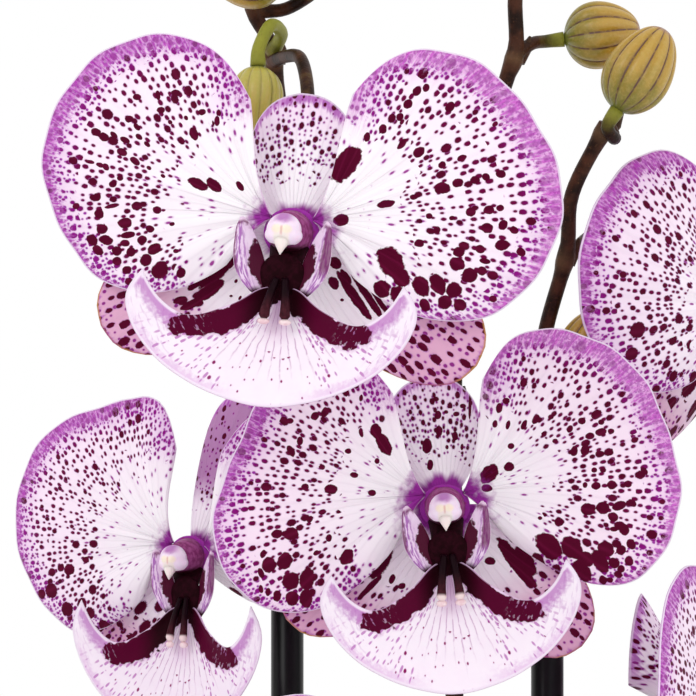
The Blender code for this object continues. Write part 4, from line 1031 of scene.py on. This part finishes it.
def wing_material():
    """A side lobe: lilac with streaks, a dark outer rim and a dark patch low beside the column."""
    tree = Tree("lip_side_lobe", 0.45)
    height, across, edge = tree.parts("blade")
    own = tree.painted("own")
    fleck = tree.noise(own, 0.9, 3)
    streak = tree.noise((across * 3, height * 2.6), 2.2, 3)
    colour = tree.mix(tree.noise(own, 0.4), "#F3E4F3", "#DDB4DE")
    outer = (across + (fleck - 0.5) * 0.5).step(-0.1, 0.45)
    colour = tree.mix(outer * streak.step(0.44, 0.56) * 0.85, colour, "#9A48A8")
    down = (height - 0.38) / 0.34
    aside = (across + 1.05) / 1.15
    patch = tree.length(down, aside) + (fleck - 0.5) * 0.6
    colour = tree.mix(patch.step(1.05, 0.93), colour, "#4C0428")
    start = tree.parts(own)[0].step(-1, 1, 0.75, 0.35)
    rim = across - start + (fleck - 0.5) * 0.4
    rim = rim.step(-0.08, 0.1) * height.step(0.22, 0.4)
    top = (height + (fleck - 0.5) * 0.2).step(0.86, 0.95)
    rim = tree.calc("MAXIMUM", rim, top)
    colour = tree.mix(rim * 0.85, colour, tree.mix(fleck, "#8A3C78", "#561038"))
    colour = tree.mix(edge.step(0.07, 0.02), colour, "#E9CDE6")
    colour = tree.mix(height.step(0.12, 0.04), colour, "#2E0414")
    return tree.finish(colour, streak, 0.08 * MM, 0.05)


def hub_material():
    """The blades' shared root behind the cap: mottled plum, violet toward its edge."""
    tree = Tree("bloom_hub", 0.6, 0.05)
    own = tree.painted("own")
    x, _, z = tree.parts(own)
    fleck = tree.noise(own, 0.9, 3)
    away = tree.length(x, z) + (fleck - 0.5) * 3
    plum = tree.mix(fleck.step(0.4, 0.6), "#8A2A6A", "#6A1A50")
    colour = tree.mix(away.step(5, 3.9), "#96309A", plum)
    colour = tree.mix(z.step(-2.4, -4.2), colour, "#2E0414")
    return tree.finish(colour, fleck, 0.05 * MM, 0.15)


def column_material():
    """The column behind its cap: mottled plum, nearly black below."""
    tree = Tree("column", 0.45, 0.1)
    z = tree.parts("own")[2]
    fleck = tree.noise(tree.painted("own"), 0.8, 3)
    colour = tree.mix(fleck.step(0.35, 0.65), "#9A4A84", "#7A2C5E")
    colour = tree.mix(z.step(-1.8, -3.2), colour, "#2E0414")
    return tree.finish(colour, fleck, 0.05 * MM, 0.2)


def cap_material():
    """The column's cap: pale pink rim, violet crown, two ivory lobes and a pale beak."""
    tree = Tree("column_cap", 0.35, 0.25)
    own = tree.painted("own")
    x, forward, z = tree.parts(own)
    cloud = tree.noise(own, 0.6)
    colour = tree.mix(cloud, "#FBF0FA", "#EDCFEB")
    aside = abs(x)
    ahead = forward.step(9.5, 10.5)
    ivory = tree.length((aside - 0.95) / 1.1, (z - 0.6) / 0.9).step(1.3, 0.6)
    colour = tree.mix(ivory * ahead * 0.75, colour, "#FAEBCB")
    low = aside.step(1.9, 1.2) * z.step(0.6, -0.6)
    colour = tree.mix(low * ahead * 0.7, colour, "#F8E8DA")
    top = (z + cloud * 1.2).step(2, 3.3) * aside.step(2.8, 0.6)
    colour = tree.mix(top * 0.8, colour, "#A440A8")
    groove = aside.step(0.35, 0.1) * z.step(-0.9, -0.1)
    colour = tree.mix(groove * z.step(1.6, 0.9) * 0.5, colour, "#D08A80")
    colour = tree.mix(forward.step(8.2, 6.8) * 0.8, colour, "#C890C8")
    return tree.finish(colour, cloud, 0.03 * MM, 0.3)


def plain_material(name, pale, deep, roughness, scale, depth=0, gloss=0.2):
    """Two shades in a fine cloud, for small pieces."""
    tree = Tree(name, roughness, gloss)
    cloud = tree.noise(tree.painted("own"), scale, 3)
    return tree.finish(tree.mix(cloud.step(0.35, 0.65), pale, deep), cloud, depth)


def prong_material():
    """The prongs in the throat: nearly black, with a painted highlight of plum toward the outer end,
    and a pale end.
    """
    tree = Tree("callus", 0.4, 0.06)
    along = tree.parts("blade")[0]
    z = tree.parts("own")[2]
    cloud = tree.noise(tree.painted("own"), 1.4)
    # Painted highlight: plum in patches toward the outer end
    colour = tree.mix(along.step(0.35, 0.95) * cloud, "#16030A", "#5A2430")
    tip = along.step(0.84, 0.93) * z.step(-17.3, -17.9)
    colour = tree.mix(tip, colour, "#F0D8D8")
    return tree.finish(colour, cloud, 0.05 * MM, 0.1)


def leaf_material():
    """Glossy dark green with fine lengthwise veins, a pale fold and a duller underside."""
    tree = Tree("leaf", 0.32, 0.45)
    along, across, edge = tree.parts("blade")
    front, _, seed = tree.parts("side")
    own = tree.painted("own")
    cloud = tree.noise((across * 0.06, along * 0.02, seed), 1)
    fleck = tree.noise(own, 0.22, 4)
    fibre = tree.noise((across * 1.3, along * 0.02, seed), 1, 3)
    colour = tree.mix(cloud.step(0.3, 0.7), "#2E6420", "#4A8230")
    colour = tree.mix(fibre.step(0.5, 0.66) * 0.35, colour, "#5C8C3E")
    colour = tree.mix(fleck.step(0.52, 0.7) * 0.25, colour, "#1E4418")
    fold = abs(across).step(2.2, 0.3)
    colour = tree.mix(fold * 0.6, colour, "#7A9A4C")
    colour = tree.mix(edge.step(1.6, 0.3) * 0.7, colour, "#6A3A4A")
    colour = tree.mix(along.step(26, 6), colour, "#8FA45C")
    under = tree.mix(cloud, "#4E7440", "#5C6A4A")
    colour = tree.mix(front, under, colour)
    height = fibre * 0.5 + fold * -0.6
    return tree.finish(colour, height, 0.5 * MM, 0.04)


def stem_material():
    """Dark brown stems that turn olive on the stalks, with pale rings at the nodes."""
    tree = Tree("stem", 0.42)
    green, ring, _ = tree.parts("blade")
    own = tree.painted("own")
    cloud = tree.noise(own, 0.25, 3)
    fibre = tree.noise(own, 1.8)
    brown = tree.mix(cloud.step(0.3, 0.7), "#1E0E08", "#48281A")
    olive = tree.mix(cloud, "#9A9A38", "#787A2E")
    colour = tree.mix((green + (cloud - 0.5) * 0.5).step(0.35, 0.8), brown, olive)
    # Lighter brown fibre flecks, partly fibre and partly painted highlight
    colour = tree.mix(fibre.step(0.6, 0.72) * 0.22, colour, "#7A5232")
    colour = tree.mix(ring * 0.55, colour, "#6E5238")
    return tree.finish(colour, fibre + ring * 2, 0.12 * MM)


def bud_material():
    """A bud: ochre, olive toward its base, with a thin dark purple line in each groove, painted
    highlight along its ridges and painted shade in its grooves.
    """
    tree = Tree("bud", 0.3, 0.5)
    ridge, along, tone = tree.parts("blade")
    own = tree.painted("own")
    cloud = tree.noise(own, 0.3, 3)
    grain = tree.noise(own, 1.6, 3)
    share = cloud * 0.5 + along * 0.7
    ground = tree.mix(share.step(0.25, 0.75), "#7A7424", "#B28C30")
    ground = tree.mix(tone, ground, "#B2A848")
    colour = tree.mix(grain.step(0.45, 0.65) * 0.2, ground, "#C9AC66")
    # Painted highlight along the crests of the ridges
    crest_highlight = ridge.step(0.7, 1) * along.step(0.1, 0.5)
    colour = tree.mix(crest_highlight * 0.25, colour, "#D0B060")
    # Painted shade in the grooves between the ridges
    soft = ridge.step(0.55, 0.1) * (tone * -0.25 + 0.35)
    colour = tree.mix(soft, colour, "#735226")
    line = ridge.step(0.24, 0.08) * tree.noise(own, 0.7).step(0.3, 0.5)
    colour = tree.mix(line * (tone * -0.6 + 0.8), colour, "#4E1E34")
    colour = tree.mix(along.step(0.92, 1), colour, "#8E5A4A")
    colour = tree.mix(along.step(0.1, 0), colour, "#6A6E2E")
    return tree.finish(colour, grain, 0.06 * MM, 0.15)


def root_material():
    """Aerial roots: felted grey-green with a green tip."""
    tree = Tree("root", 0.75)
    tip = tree.parts("blade")[0]
    own = tree.painted("own")
    cloud = tree.noise(own, 0.3, 4)
    colour = tree.mix(cloud.step(0.35, 0.65), "#B9BFAE", "#8E9A80")
    colour = tree.mix(tree.noise(own, 1.2).step(0.55, 0.7) * 0.4, colour, "#6E6A50")
    colour = tree.mix(tip.step(0.9, 0.96), colour, "#6E8A3A")
    return tree.finish(colour, cloud, 0.3 * MM)


def bark_material():
    """Bark in many browns: each chip has a shade of its own."""
    tree = Tree("bark", 0.88)
    shade = tree.parts("blade")[0]
    x, y, z = tree.parts("own")
    fibre = tree.noise((x * 0.35, y, z * 1.6), 0.8, 4)
    colour = tree.mix(fibre.step(0.35, 0.7), "#3E2416", "#7A5030")
    colour = tree.mix(shade, colour, "#A07A50")
    return tree.finish(tree.mix(0.35, colour, "#4A2C1A"), fibre, 0.8 * MM)


def ceramic_material():
    """A plain pale glaze with a faint crackle of tone."""
    tree = Tree("glaze", 0.16, 0.5)
    own = tree.painted("own")
    cloud = tree.noise(own, 0.02, 3)
    fine = tree.noise(own, 0.6)
    colour = tree.mix(cloud, "#EFEBE2", "#E2DCCF")
    colour = tree.mix(fine.step(0.62, 0.72) * 0.25, colour, "#CDBFA8")
    tree.put(tree.shader["Coat Weight"], 0.5)
    return tree.finish(colour, fine, 0.04 * MM)


def object_material(name, pale, deep, roughness, scale):
    """For pieces that carry no painted values."""
    tree = Tree(name, roughness, 0.3)
    place = tree.node("TexCoord")[3]
    cloud = tree.noise(place, scale, 3)
    return tree.finish(tree.mix(cloud.step(0.35, 0.65), pale, deep), cloud, 0.05 * MM)


# Pieces of a bloom

def ellipsoid(centre, radii, sides, rings, shape=None):
    """Points and faces of a closed ball; shape may change the points of the unit ball."""
    points = []
    for i in range(1, rings):
        lean = math.pi * i / rings
        for k in range(sides):
            turn = 2 * math.pi * k / sides
            points.append((math.sin(lean) * math.cos(turn), math.sin(lean) * math.sin(turn),
                           math.cos(lean)))
    points = np.array(points + [(0, 0, 1), (0, 0, -1)])
    if shape:
        points = shape(points)
    return points * radii + centre, closed_faces(rings - 1, sides, flip=True)


def add_rod(gathered, rod, part, sides=32, widening=1):
    """A closed tube through places with their radii, in millimetres."""
    places, radii = zip(*rod)
    points, faces, _ = tube(places, radii, sides)
    gathered.add(points * (widening * MM, MM, MM), faces, part)


def foot_place(reach):
    """The place (millimetres) that lies reach along the column's foot, which carries the lip."""
    lean = math.radians(FOOT_LEAN)
    return Vector(FOOT_START) + reach * Vector((0, -math.cos(lean), -math.sin(lean)))


def on_foot(rod):
    return [(foot_place(reach), radius) for reach, radius in rod]


def cap_shape(points):
    """Round above, square at the shoulders, with two soft lobes in front."""
    points = points.copy()
    low = np.clip(-points[:, 2], 0, 1)
    points[:, 0] *= 1 + 0.16 * np.sin(np.pi * low) - 0.1 * low ** 4
    points[:, 2] = np.maximum(points[:, 2], -0.83 + 0.12 * np.abs(points[:, 0]))
    ahead = np.clip(-points[:, 1], 0, 1)
    lobes = np.exp(-((np.abs(points[:, 0]) - 0.34) ** 2 + (points[:, 2] - 0.16) ** 2) / 0.05)
    cheek = np.exp(-(points[:, 0] ** 2 / 0.09 + (points[:, 2] + 0.45) ** 2 / 0.12))
    points[:, 1] -= ahead * (0.10 * lobes + 0.10 * cheek)
    return points


def add_column(gathered):
    """The column with its hub, its foot and its beaked cap."""
    add_rod(gathered, HUB_ROD, "hub")
    add_rod(gathered, COLUMN_ROD, "column")
    add_rod(gathered, on_foot(FOOT_ROD), "claw", widening=FOOT_WIDENING)
    points, faces = ellipsoid(*HUB_BALL, 40, 20)
    gathered.add(points * MM, faces, "hub")
    points, faces = ellipsoid(*CAP_BALL, 72, 54, cap_shape)
    gathered.add(points * MM, faces, "cap")
    add_rod(gathered, BEAK_ROD, "cap", 24)


def petal_band(fan):
    """Width of a petal's tinted margin: widest at the top and outside."""
    rise = np.clip((fan + 30) / 55, 0, 1) * np.clip((84 - fan) / 30, 0, 1)
    return PETAL_BAND[0] + PETAL_BAND[1] * rise ** 1.4


def own_material(materials, part, name):
    """The material that a bloom has of its own for a part, or else the plain one."""
    plain = "petal" if part.startswith("petal") else part
    return materials.get(part + name[-2:], materials[plain])


def make_tepals(name, materials):
    """Petals, sepals and column of a bloom."""
    seed = BLOOMS[name][-1]
    phase = SEED_PHASE * seed
    gathered = Gathered()

    def blade(surface, grid, part, seed_shift, band=None):
        points, faces, places, share = shell(surface, *grid, BLADE_THICKNESS, (0, -1, 0))
        band = petal_band(places[:, 0]) if band is None else band
        gathered.add(points, faces, part, places, triple(share, band, 100 * seed + seed_shift))

    grid = FINE_GRID if name in FINE_BLOOMS else PLAIN_GRID
    blade(petal_surface(name, -1, phase), grid, "petal_left", 0)
    blade(petal_surface(name, 1, phase + 1), grid, "petal_right", 20)
    outline = LONG_OUTLINE if name == "bloom_c" else DORSAL_OUTLINE
    heading = 90 + DORSAL_TURN.get(name, 0)
    surface = sepal_surface(outline, heading, DORSAL_RECURVE, phase)
    blade(surface, DORSAL_GRID, "dorsal", 40, DORSAL_BAND)
    for side, heading in ((-1, 180 + LATERAL_HEADING), (1, -LATERAL_HEADING)):
        heading += LATERAL_TURN.get((name, side), 0)
        surface = sepal_surface(LATERAL_OUTLINE, heading, LATERAL_RECURVE, phase)
        blade(surface, LATERAL_GRID, "lateral", 70 + 10 * side, LATERAL_BAND)
    add_column(gathered)
    own = {part: own_material(materials, part, name) for part in TEPAL_PARTS}
    gathered.build(own, [name + "_tepals"], bloom_matrix(name))


def lip_pose(name):
    """The change of a lip's points: stretched below its throat and swung on the foot's end."""
    droop = math.radians(BLOOMS[name][-2])
    hinge = foot_place(FOOT_LENGTH) * MM
    swing = np.array(Matrix.Translation(hinge) @ Matrix.Rotation(droop, 4, "X")
                     @ Matrix.Translation(-hinge))
    broad, long = LIP_FACTORS.get(name, (1, 1))

    def pose(points):
        points = points * (broad, 1, 1) + (LIP_SHIFTS.get(name, 0), 0, 0)
        points[:, 2] += (long - 1) * np.minimum(points[:, 2] - LIP_STRETCH_HEIGHT, 0)
        return points @ swing[:3, :3].T + swing[:3, 3]
    return pose


def add_prong(gathered, pose, sign):
    """One of the two prongs in the throat, with its pale end."""
    route = smooth_route([(sign * x, y, z) for x, y, z in PRONG_ROUTE], 0.6)
    radii = 0.8 + 0.38 * np.linspace(0, 1, len(route)) ** 3
    radii[-1] *= 0.55
    points, faces, along = tube(route, radii, 14)
    gathered.add(pose(points * MM), faces, "prong", triple(along / along.max(), 0, 0))
    (x, y, z), radii = PRONG_BALL
    points, faces = ellipsoid((sign * x, y, z), radii, 20, 12)
    gathered.add(pose(points * MM), faces, "collar")


def make_lip(name, materials):
    """The lip's blade, its two side lobes, its prongs and its claw."""
    pose = lip_pose(name)
    gathered = Gathered()
    grid = FINE_LIP_GRID if name in FINE_BLOOMS else PLAIN_GRID
    points, faces, places, share = shell(lip_surface, *grid, BLADE_THICKNESS, (0, -1, 0.4))
    side = triple(share, band_distance(points), places[:, 3])
    gathered.add(pose(points), faces, "lip", places[:, :3], side)
    for sign in (-1, 1):
        points, faces, places, _ = shell(wing_surface(sign), *WING_GRID, WING_THICKNESS, (0, -1, 0))
        gathered.add(pose(points), faces, "wing", places)
        add_prong(gathered, pose, sign)
    points, faces = ellipsoid(*CUSHION_BALL, 32, 20)
    gathered.add(pose(points * MM), faces, "claw")
    add_rod(gathered, on_foot(CLAW_ROD), "claw", 16)
    own = {part: materials[part] for part in LIP_PARTS}
    gathered.build(own, [name + "_lip"], bloom_matrix(name))


def make_bud(name, materials):
    """A plump closed bud: ridged, with shallow seams where its outer sepals meet."""
    base, heading, length, radius = BUDS[name]

    def shape(points):
        x, y, z = points.T
        along = (z + 1) / 2
        around = np.arctan2(y, x)
        ridge = 1 + BUD_RIDGE_DEPTH * (np.abs(np.sin(BUD_RIDGES * around)) ** 0.6 - 0.5)
        seam = 1 - 0.045 * np.exp(-((np.mod(around + 0.5, 2 * np.pi / 3) - np.pi / 3) / 0.07) ** 2)
        blunt = 1 + BUD_TAPER * np.cos(np.pi * along)
        away = np.maximum(np.hypot(x, y), 1e-9)
        seat = np.where((along < 0.1) & (away > 1e-6), BUD_SEAT / away, 0)
        width = np.maximum(radius * ridge * blunt * seam, seat)
        return triple(x * width, y * width, along * length) * MM

    points, faces = ellipsoid((0, 0, 0), (1, 1, 1), 120, 44, shape)
    ridge = np.abs(np.sin(BUD_RIDGES * np.arctan2(points[:, 1], points[:, 0])))
    places = triple(ridge, points[:, 2] / (length * MM), float(name in PALE_BUDS))
    matrix = (Matrix.Translation(Vector(base) * MM)
              @ Vector(heading).to_track_quat("Z", "Y").to_matrix().to_4x4())
    make_one(name, materials["bud"], "bud", points, faces, matrix, blade=places)


def add_bract(gathered, route, radii, spot):
    """A small scale that hugs the stem at one of its nodes."""
    way = (route[min(spot + 1, len(route) - 1)] - route[spot - 1]).normalized()
    out = way.orthogonal().normalized()
    start = route[spot] + out * radii[spot] * 0.55
    tip = route[spot] + way * 5.5 * MM + out * (radii[spot] + 0.9 * MM)
    points, faces, _ = tube([start, start.lerp(tip, 0.5) + out * 0.7 * MM, tip],
                            [radii[spot] * 0.85, radii[spot] * 0.6, 0.25 * MM], 12)
    gathered.add(points, faces, blade=(0.25, 0.35, 0))


def add_stalk(gathered, places, seat, way, first, last):
    """A side stalk that ends just off its bloom or bud; its colour runs from first to last."""
    end = seat + way * STALK_GAP
    line = fine_route(metres(places) + [end + way * 4 * MM, end], *STALK_STEPS)
    index = np.arange(len(line))
    swell = (0.25 * np.exp(-(index / 2.5) ** 2)
             + 0.18 * np.exp(-((index[-1] - index) / 2.5) ** 2))
    points, faces, along = tube(line, STALK_RADIUS * MM * (1 + swell), 14)
    green = first + (last - first) * along / along.max()
    ring = np.exp(-(along / MM / 1.2) ** 2)
    gathered.add(points, faces, blade=triple(green, ring, along / MM))


def make_stem(name, materials):
    """A flower stem with swollen, ringed nodes, small bracts and its side stalks."""
    stem = STEMS[name]
    route = fine_route(metres(stem["route"]), *STEM_STEPS)
    heights = np.array([place.z for place in route])
    share = np.clip((heights - heights[0]) / (heights[-1] - heights[0]), 0, 1)
    swell = np.exp(-((heights[:, None] / MM - stem["nodes"]) / 2.2) ** 2).max(axis=1)
    radii = (STEM_RADII[0] + (STEM_RADII[1] - STEM_RADII[0]) * share) * MM * (1 + 0.30 * swell)
    points, faces, along = tube(route, radii, STEM_SIDES)
    green = np.clip((points[:, 2] / MM - 596) / 60, 0, 0.5)
    ring = np.append(np.repeat(swell ** 3, STEM_SIDES), (0, 0))
    gathered = Gathered()
    gathered.add(points, faces, blade=triple(green, ring, along / MM))
    for z in stem["nodes"]:
        add_bract(gathered, route, radii, np.abs(heights - z * MM).argmin())
    for bloom, places in stem["blooms"].items():
        matrix = bloom_matrix(bloom)
        way = (matrix.to_3x3() @ Vector((0, 1, 0))).normalized()
        seat = matrix @ (Vector(HUB_ROD[0][0]) * MM)
        add_stalk(gathered, places, seat, way, *BLOOM_STALK_GREEN)
    for bud, places in stem["buds"].items():
        base, heading = BUDS[bud][:2]
        greens = GREEN_BUD_STALK if bud == "bud_left_2" else BUD_STALK_GREEN
        add_stalk(gathered, places, Vector(base) * MM, -Vector(heading).normalized(), *greens)
    gathered.build({"whole": materials["stem"]}, [name])


# Leaves, roots, crown, medium and pot

def leaf_surface(side, height, length, heading, rise, droop):
    """A strap blade that grows out of the crown's side, rises and droops, with a keel."""
    turn = math.radians(heading)
    out = np.array((side * math.cos(turn), side * math.sin(turn), 0))
    up = np.array((0, 0, 1))
    across = np.cross(up, out)
    room = (1.5 * GAP + LEAF_THICKNESS / 2 * math.sin(math.radians(rise))
            + LEAF_WIDTH / 2 * LEAF_OUTLINE[0][1] * abs(math.sin(turn)))
    start = np.array((side * (CROWN_SIZE[0] / 2 + room), 0, height))
    steps = np.arange(LEAF_STEPS + 1)
    slopes = np.radians(rise - droop * ((steps + 0.5) / LEAF_STEPS) ** LEAF_BEND)
    ways = np.outer(np.cos(slopes), out) + np.outer(np.sin(slopes), up)
    line = start + np.concatenate([[(0, 0, 0)], np.cumsum(ways, axis=0)]) * length / LEAF_STEPS
    width = LEAF_WIDTH * min(1, length / LEAF_FULL_LENGTH)

    def surface(s, t):
        where = s * LEAF_STEPS
        index = np.minimum(where.astype(int), LEAF_STEPS - 1)
        share = (where - index)[..., None]
        middle = line[index] * (1 - share) + line[index + 1] * share
        slope = np.interp(where - 0.5, steps, slopes)[..., None]
        lifted = up * np.cos(slope) - out * np.sin(slope)
        half = width / 2 * smooth_value(LEAF_OUTLINE, s)
        lift = (LEAF_KEEL * half * np.sqrt(t ** 2 + 0.004) * (1 - LEAF_FLATTENING * s))[..., None]
        hold = np.minimum(1, s * LEAF_HOLD)[..., None]
        edge = np.minimum(half * (1 - np.abs(t)), length * (1 - s))
        return (middle + across * (half * t)[..., None] + lift * (lifted * hold + up * (1 - hold)),
                triple(s * length, half * t, edge) / MM)
    return surface


def make_leaf(name, materials):
    points, faces, places, share = shell(leaf_surface(*LEAVES[name]), *LEAF_GRID, LEAF_THICKNESS,
                                         (0, 0, 1), 0.4)
    side = triple(share, 0, 3.1 * list(LEAVES).index(name))
    make_one(name, materials["leaf"], "leaf", points, faces, blade=places, side=side)


def make_root(name, materials):
    """An aerial root: uneven, pale and felted, with a green tip."""
    route = fine_route(metres(ROOT_ROUTES[name]), *ROOT_STEPS)
    index = np.arange(len(route))
    share = index / index[-1]
    uneven = 1 + 0.05 * np.sin(index * 0.9) * np.sin(index * 0.37)
    end = np.minimum(1, (1 - share) / 0.03 + 0.45)
    radii = ROOT_RADIUS * (1 + (ROOT_TAPER - 1) * share) * uneven * end
    points, faces, along = tube(route, radii, 18)
    make_one(name, materials["root"], "root", points, faces, blade=triple(along / along.max(), 0, 0))


def inner_radius(z):
    share = (z - POT_FLOOR) / (POT_HEIGHT - POT_FLOOR)
    bottom = POT_BASE_RADIUS - POT_WALL
    return bottom + (POT_TOP_RADIUS - POT_WALL - POT_THICKENING - bottom) * share


def rounded(profile, radius, steps=5):
    """The profile with each inner corner rounded off."""
    done = [profile[0]]
    for before, corner, after in zip(profile, profile[1:], profile[2:]):
        before, corner, after = (np.array(p, float) for p in (before, corner, after))
        back, ahead = before - corner, after - corner
        reach = min(radius, np.hypot(*back) / 2.2, np.hypot(*ahead) / 2.2)
        start = corner + back / np.hypot(*back) * reach
        end = corner + ahead / np.hypot(*ahead) * reach
        for k in range(steps + 1):
            u = k / steps
            done.append(tuple((1 - u) ** 2 * start + 2 * u * (1 - u) * corner + u ** 2 * end))
    return done + [profile[-1]]


def turned(profile, sides):
    """Points and faces of a turned solid whose profile starts and ends on the axis."""
    inside = profile[1:-1]
    points = [(r * math.cos(2 * math.pi * k / sides), r * math.sin(2 * math.pi * k / sides), z)
              for r, z in inside for k in range(sides)]
    points += [(0, 0, profile[0][1]), (0, 0, profile[-1][1])]
    return np.array(points), closed_faces(len(inside), sides, flip=True)


def make_pot(materials):
    collar = POT_HEIGHT - POT_COLLAR_HEIGHT
    profile = [(0, POT_FLOOR), (inner_radius(POT_FLOOR), POT_FLOOR),
               (inner_radius(POT_HEIGHT), POT_HEIGHT), (POT_TOP_RADIUS, POT_HEIGHT),
               (POT_TOP_RADIUS, collar), (POT_TOP_RADIUS - POT_COLLAR_STEP, collar - 1 * MM),
               (POT_BASE_RADIUS, 0), (0, 0)]
    make_one("pot", materials["ceramic"], "ceramic", *turned(rounded(profile, POT_ROUNDING), 128))


def add_chips(gathered):
    """Small bark chips, spread over the growing medium in a spiral."""
    draw = random.Random(CHIP_SEED)
    field = inner_radius(MEDIUM_TOP) - 9 * MM
    for i in range(CHIP_COUNT):
        ring = field * math.sqrt((i + 0.5) / CHIP_COUNT)
        around = i * math.radians(137.5)
        x, y = ring * math.cos(around), ring * math.sin(around)
        length = draw.uniform(5, 15) * MM
        if any(math.hypot(x - cx, y - cy) < r for cx, cy, r in CHIP_GAPS):
            length *= 0.4
        size = np.array((length, length * draw.uniform(0.45, 0.8), length * draw.uniform(0.3, 0.5)))
        turn = (Matrix.Rotation(draw.uniform(0, 6.28), 3, "Z")
                @ Matrix.Rotation(draw.uniform(-0.6, 0.6), 3, "X")
                @ Matrix.Rotation(draw.uniform(-0.6, 0.6), 3, "Y"))
        dents = [draw.uniform(0.78, 1.12) for _ in range(26)]

        def shape(ball):
            square = np.sign(ball) * np.abs(ball) ** 0.62
            return square * np.resize(dents, len(ball))[:, None]

        points, faces = ellipsoid((0, 0, 0), size / 2, 8, 5, shape)
        height = MEDIUM_TOP + draw.uniform(-2, 0.6) * MM
        points = points @ np.array(turn).T + (x, y, height)
        gathered.add(points, faces, blade=(draw.uniform(0, 0.75), 0, 0))


def make_medium(materials):
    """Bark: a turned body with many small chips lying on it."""
    low = POT_FLOOR + GAP
    top = MEDIUM_TOP - 2 * MM
    profile = [(0, top), (inner_radius(top) - 2 * GAP, top), (inner_radius(low) - 2 * GAP, low),
               (0, low)]
    gathered = Gathered()
    gathered.add(*turned(profile, 64))
    add_chips(gathered)
    gathered.build({"whole": materials["bark"]}, ["growing_medium"])


def make_stake(name, materials):
    """A smooth round rod in place of the faceted one."""
    x, y = STAKES[name]
    low, high = STAKE_HEIGHTS
    bevel = 0.8 * MM
    route = [(x, y, low), (x, y, low + bevel), (x, y, high - bevel), (x, y, high)]
    radii = [STAKE_RADIUS - bevel, STAKE_RADIUS, STAKE_RADIUS, STAKE_RADIUS - bevel]
    points, faces, _ = tube(route, radii, 40)
    make_one(name, materials["stake"], "stake", points, faces)


def make_crown(materials):
    """The short stem, wrapped in the sheaths of its leaves."""
    half = np.array(CROWN_SIZE) / 2
    sides, rings = 48, 60
    points = []
    for i in range(rings + 1):
        share = i / rings
        z = CROWN_FOOT + CROWN_SIZE[2] * share
        close = math.sqrt(max(0.05, min(1, (1 - share) / 0.05, share / 0.03 + 0.4)))
        for k in range(sides):
            turn = 2 * math.pi * k / sides
            x = math.copysign(abs(math.cos(turn)) ** 0.45, math.cos(turn))
            y = math.copysign(abs(math.sin(turn)) ** 0.45, math.sin(turn))
            step = math.modf(share * 6 + 0.5 * (x > 0))[0]
            squeeze = close * (0.93 + 0.07 * step)
            points.append((half[0] * x * squeeze, half[1] * y * squeeze, z))
    points += [(0, 0, CROWN_FOOT), (0, 0, CROWN_FOOT + CROWN_SIZE[2])]
    make_one("crown", materials["crown"], "crown", points, closed_faces(rings + 1, sides))


def make_materials():
    petals = ("petal", "petal_left_a", "petal_right_a", "petal_left_b", "petal_right_b")
    sepals = ("lateral", "lateral_a", "lateral_b", "dorsal", "dorsal_b", "dorsal_c")
    own = dict(lip=lip_material, wing=wing_material, prong=prong_material, column=column_material,
               hub=hub_material, cap=cap_material, leaf=leaf_material, stem=stem_material,
               bud=bud_material, root=root_material, bark=bark_material, ceramic=ceramic_material)
    made = {name: petal_material(name) for name in petals}
    made.update({name: sepal_material(name) for name in sepals})
    made.update({name: material() for name, material in own.items()})
    made["claw"] = plain_material("claw", "#1C0208", "#2A0512", 0.6, 0.8, gloss=0.04)
    made["collar"] = plain_material("collar", "#F6E2E4", "#E8C4CC", 0.4, 0.8)
    made["crown"] = plain_material("crown", "#6A7A3C", "#4C5A2C", 0.6, 0.12, 0.4 * MM)
    made["stake"] = plain_material("stake", "#030404", "#080A0B", 0.3, 0.1)
    made["clip"] = object_material("clip", "#1A2A1C", "#22361F", 0.45, 200)
    return made


def light(name, place, aim, size, energy):
    lamp = bpy.data.lights.new(name, "AREA")
    lamp.shape = "DISK"
    lamp.size = size
    lamp.energy = energy
    obj = bpy.data.objects.new(name, lamp)
    obj.location = place
    obj.rotation_euler = (Vector(aim) - Vector(place)).to_track_quat("-Z", "Y").to_euler()
    bpy.context.scene.collection.objects.link(obj)


def make_studio():
    """White surroundings, two soft lamps, a pale floor and the photograph's camera."""
    world = bpy.data.worlds.new("studio")
    world.use_nodes = True
    sky = world.node_tree.nodes["Background"]
    sky.inputs["Color"].default_value = (1, 1, 1, 1)
    sky.inputs["Strength"].default_value = 1
    bpy.context.scene.world = world
    light("key", (-0.9, -1.3, 1.5), (0, 0, 0.5), 0.8, 4.5)
    light("fill", (1.1, -0.9, 0.7), (0, 0, 0.45), 0.8, 1.2)

    bpy.ops.mesh.primitive_circle_add(vertices=96, radius=1.6, fill_type="NGON",
                                      location=(0, 0, -0.5 * MM))
    floor = bpy.context.object
    floor.name = "floor"
    tree = Tree("floor", 0.8)
    place = tree.node("TexCoord")[3]
    tree.finish(tree.mix(tree.noise(place, 3), "#EFEFEF", "#F4F4F4"))
    floor.data.materials.append(tree.material)

    lens = bpy.data.cameras.new("photo_camera")
    lens.lens = CAMERA_LENS
    lens.sensor_width = CAMERA_SENSOR
    lens.clip_start = 0.01
    camera = bpy.data.objects.new("photo_camera", lens)
    camera.location = CAMERA_PLACE
    camera.rotation_euler = (math.radians(90), 0, 0)
    bpy.context.scene.collection.objects.link(camera)
    bpy.context.scene.camera = camera
    bpy.context.scene.view_settings.view_transform = "Standard"


def main():
    for leftover in list(bpy.data.objects):
        bpy.data.objects.remove(leftover, do_unlink=True)
    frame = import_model()
    materials = make_materials()
    for node, obj in frame["nodes"].items():
        if node.startswith("clip"):
            obj.data.materials.clear()
            obj.data.materials.append(materials["clip"])
    for stake in STAKES:
        make_stake(stake, materials)
    for bloom in BLOOMS:
        make_tepals(bloom, materials)
        make_lip(bloom, materials)
    for bud in BUDS:
        make_bud(bud, materials)
    for stem in STEMS:
        make_stem(stem, materials)
    for leaf in LEAVES:
        make_leaf(leaf, materials)
    for root in ROOT_ROUTES:
        make_root(root, materials)
    make_crown(materials)
    make_medium(materials)
    make_pot(materials)
    make_studio()


main()
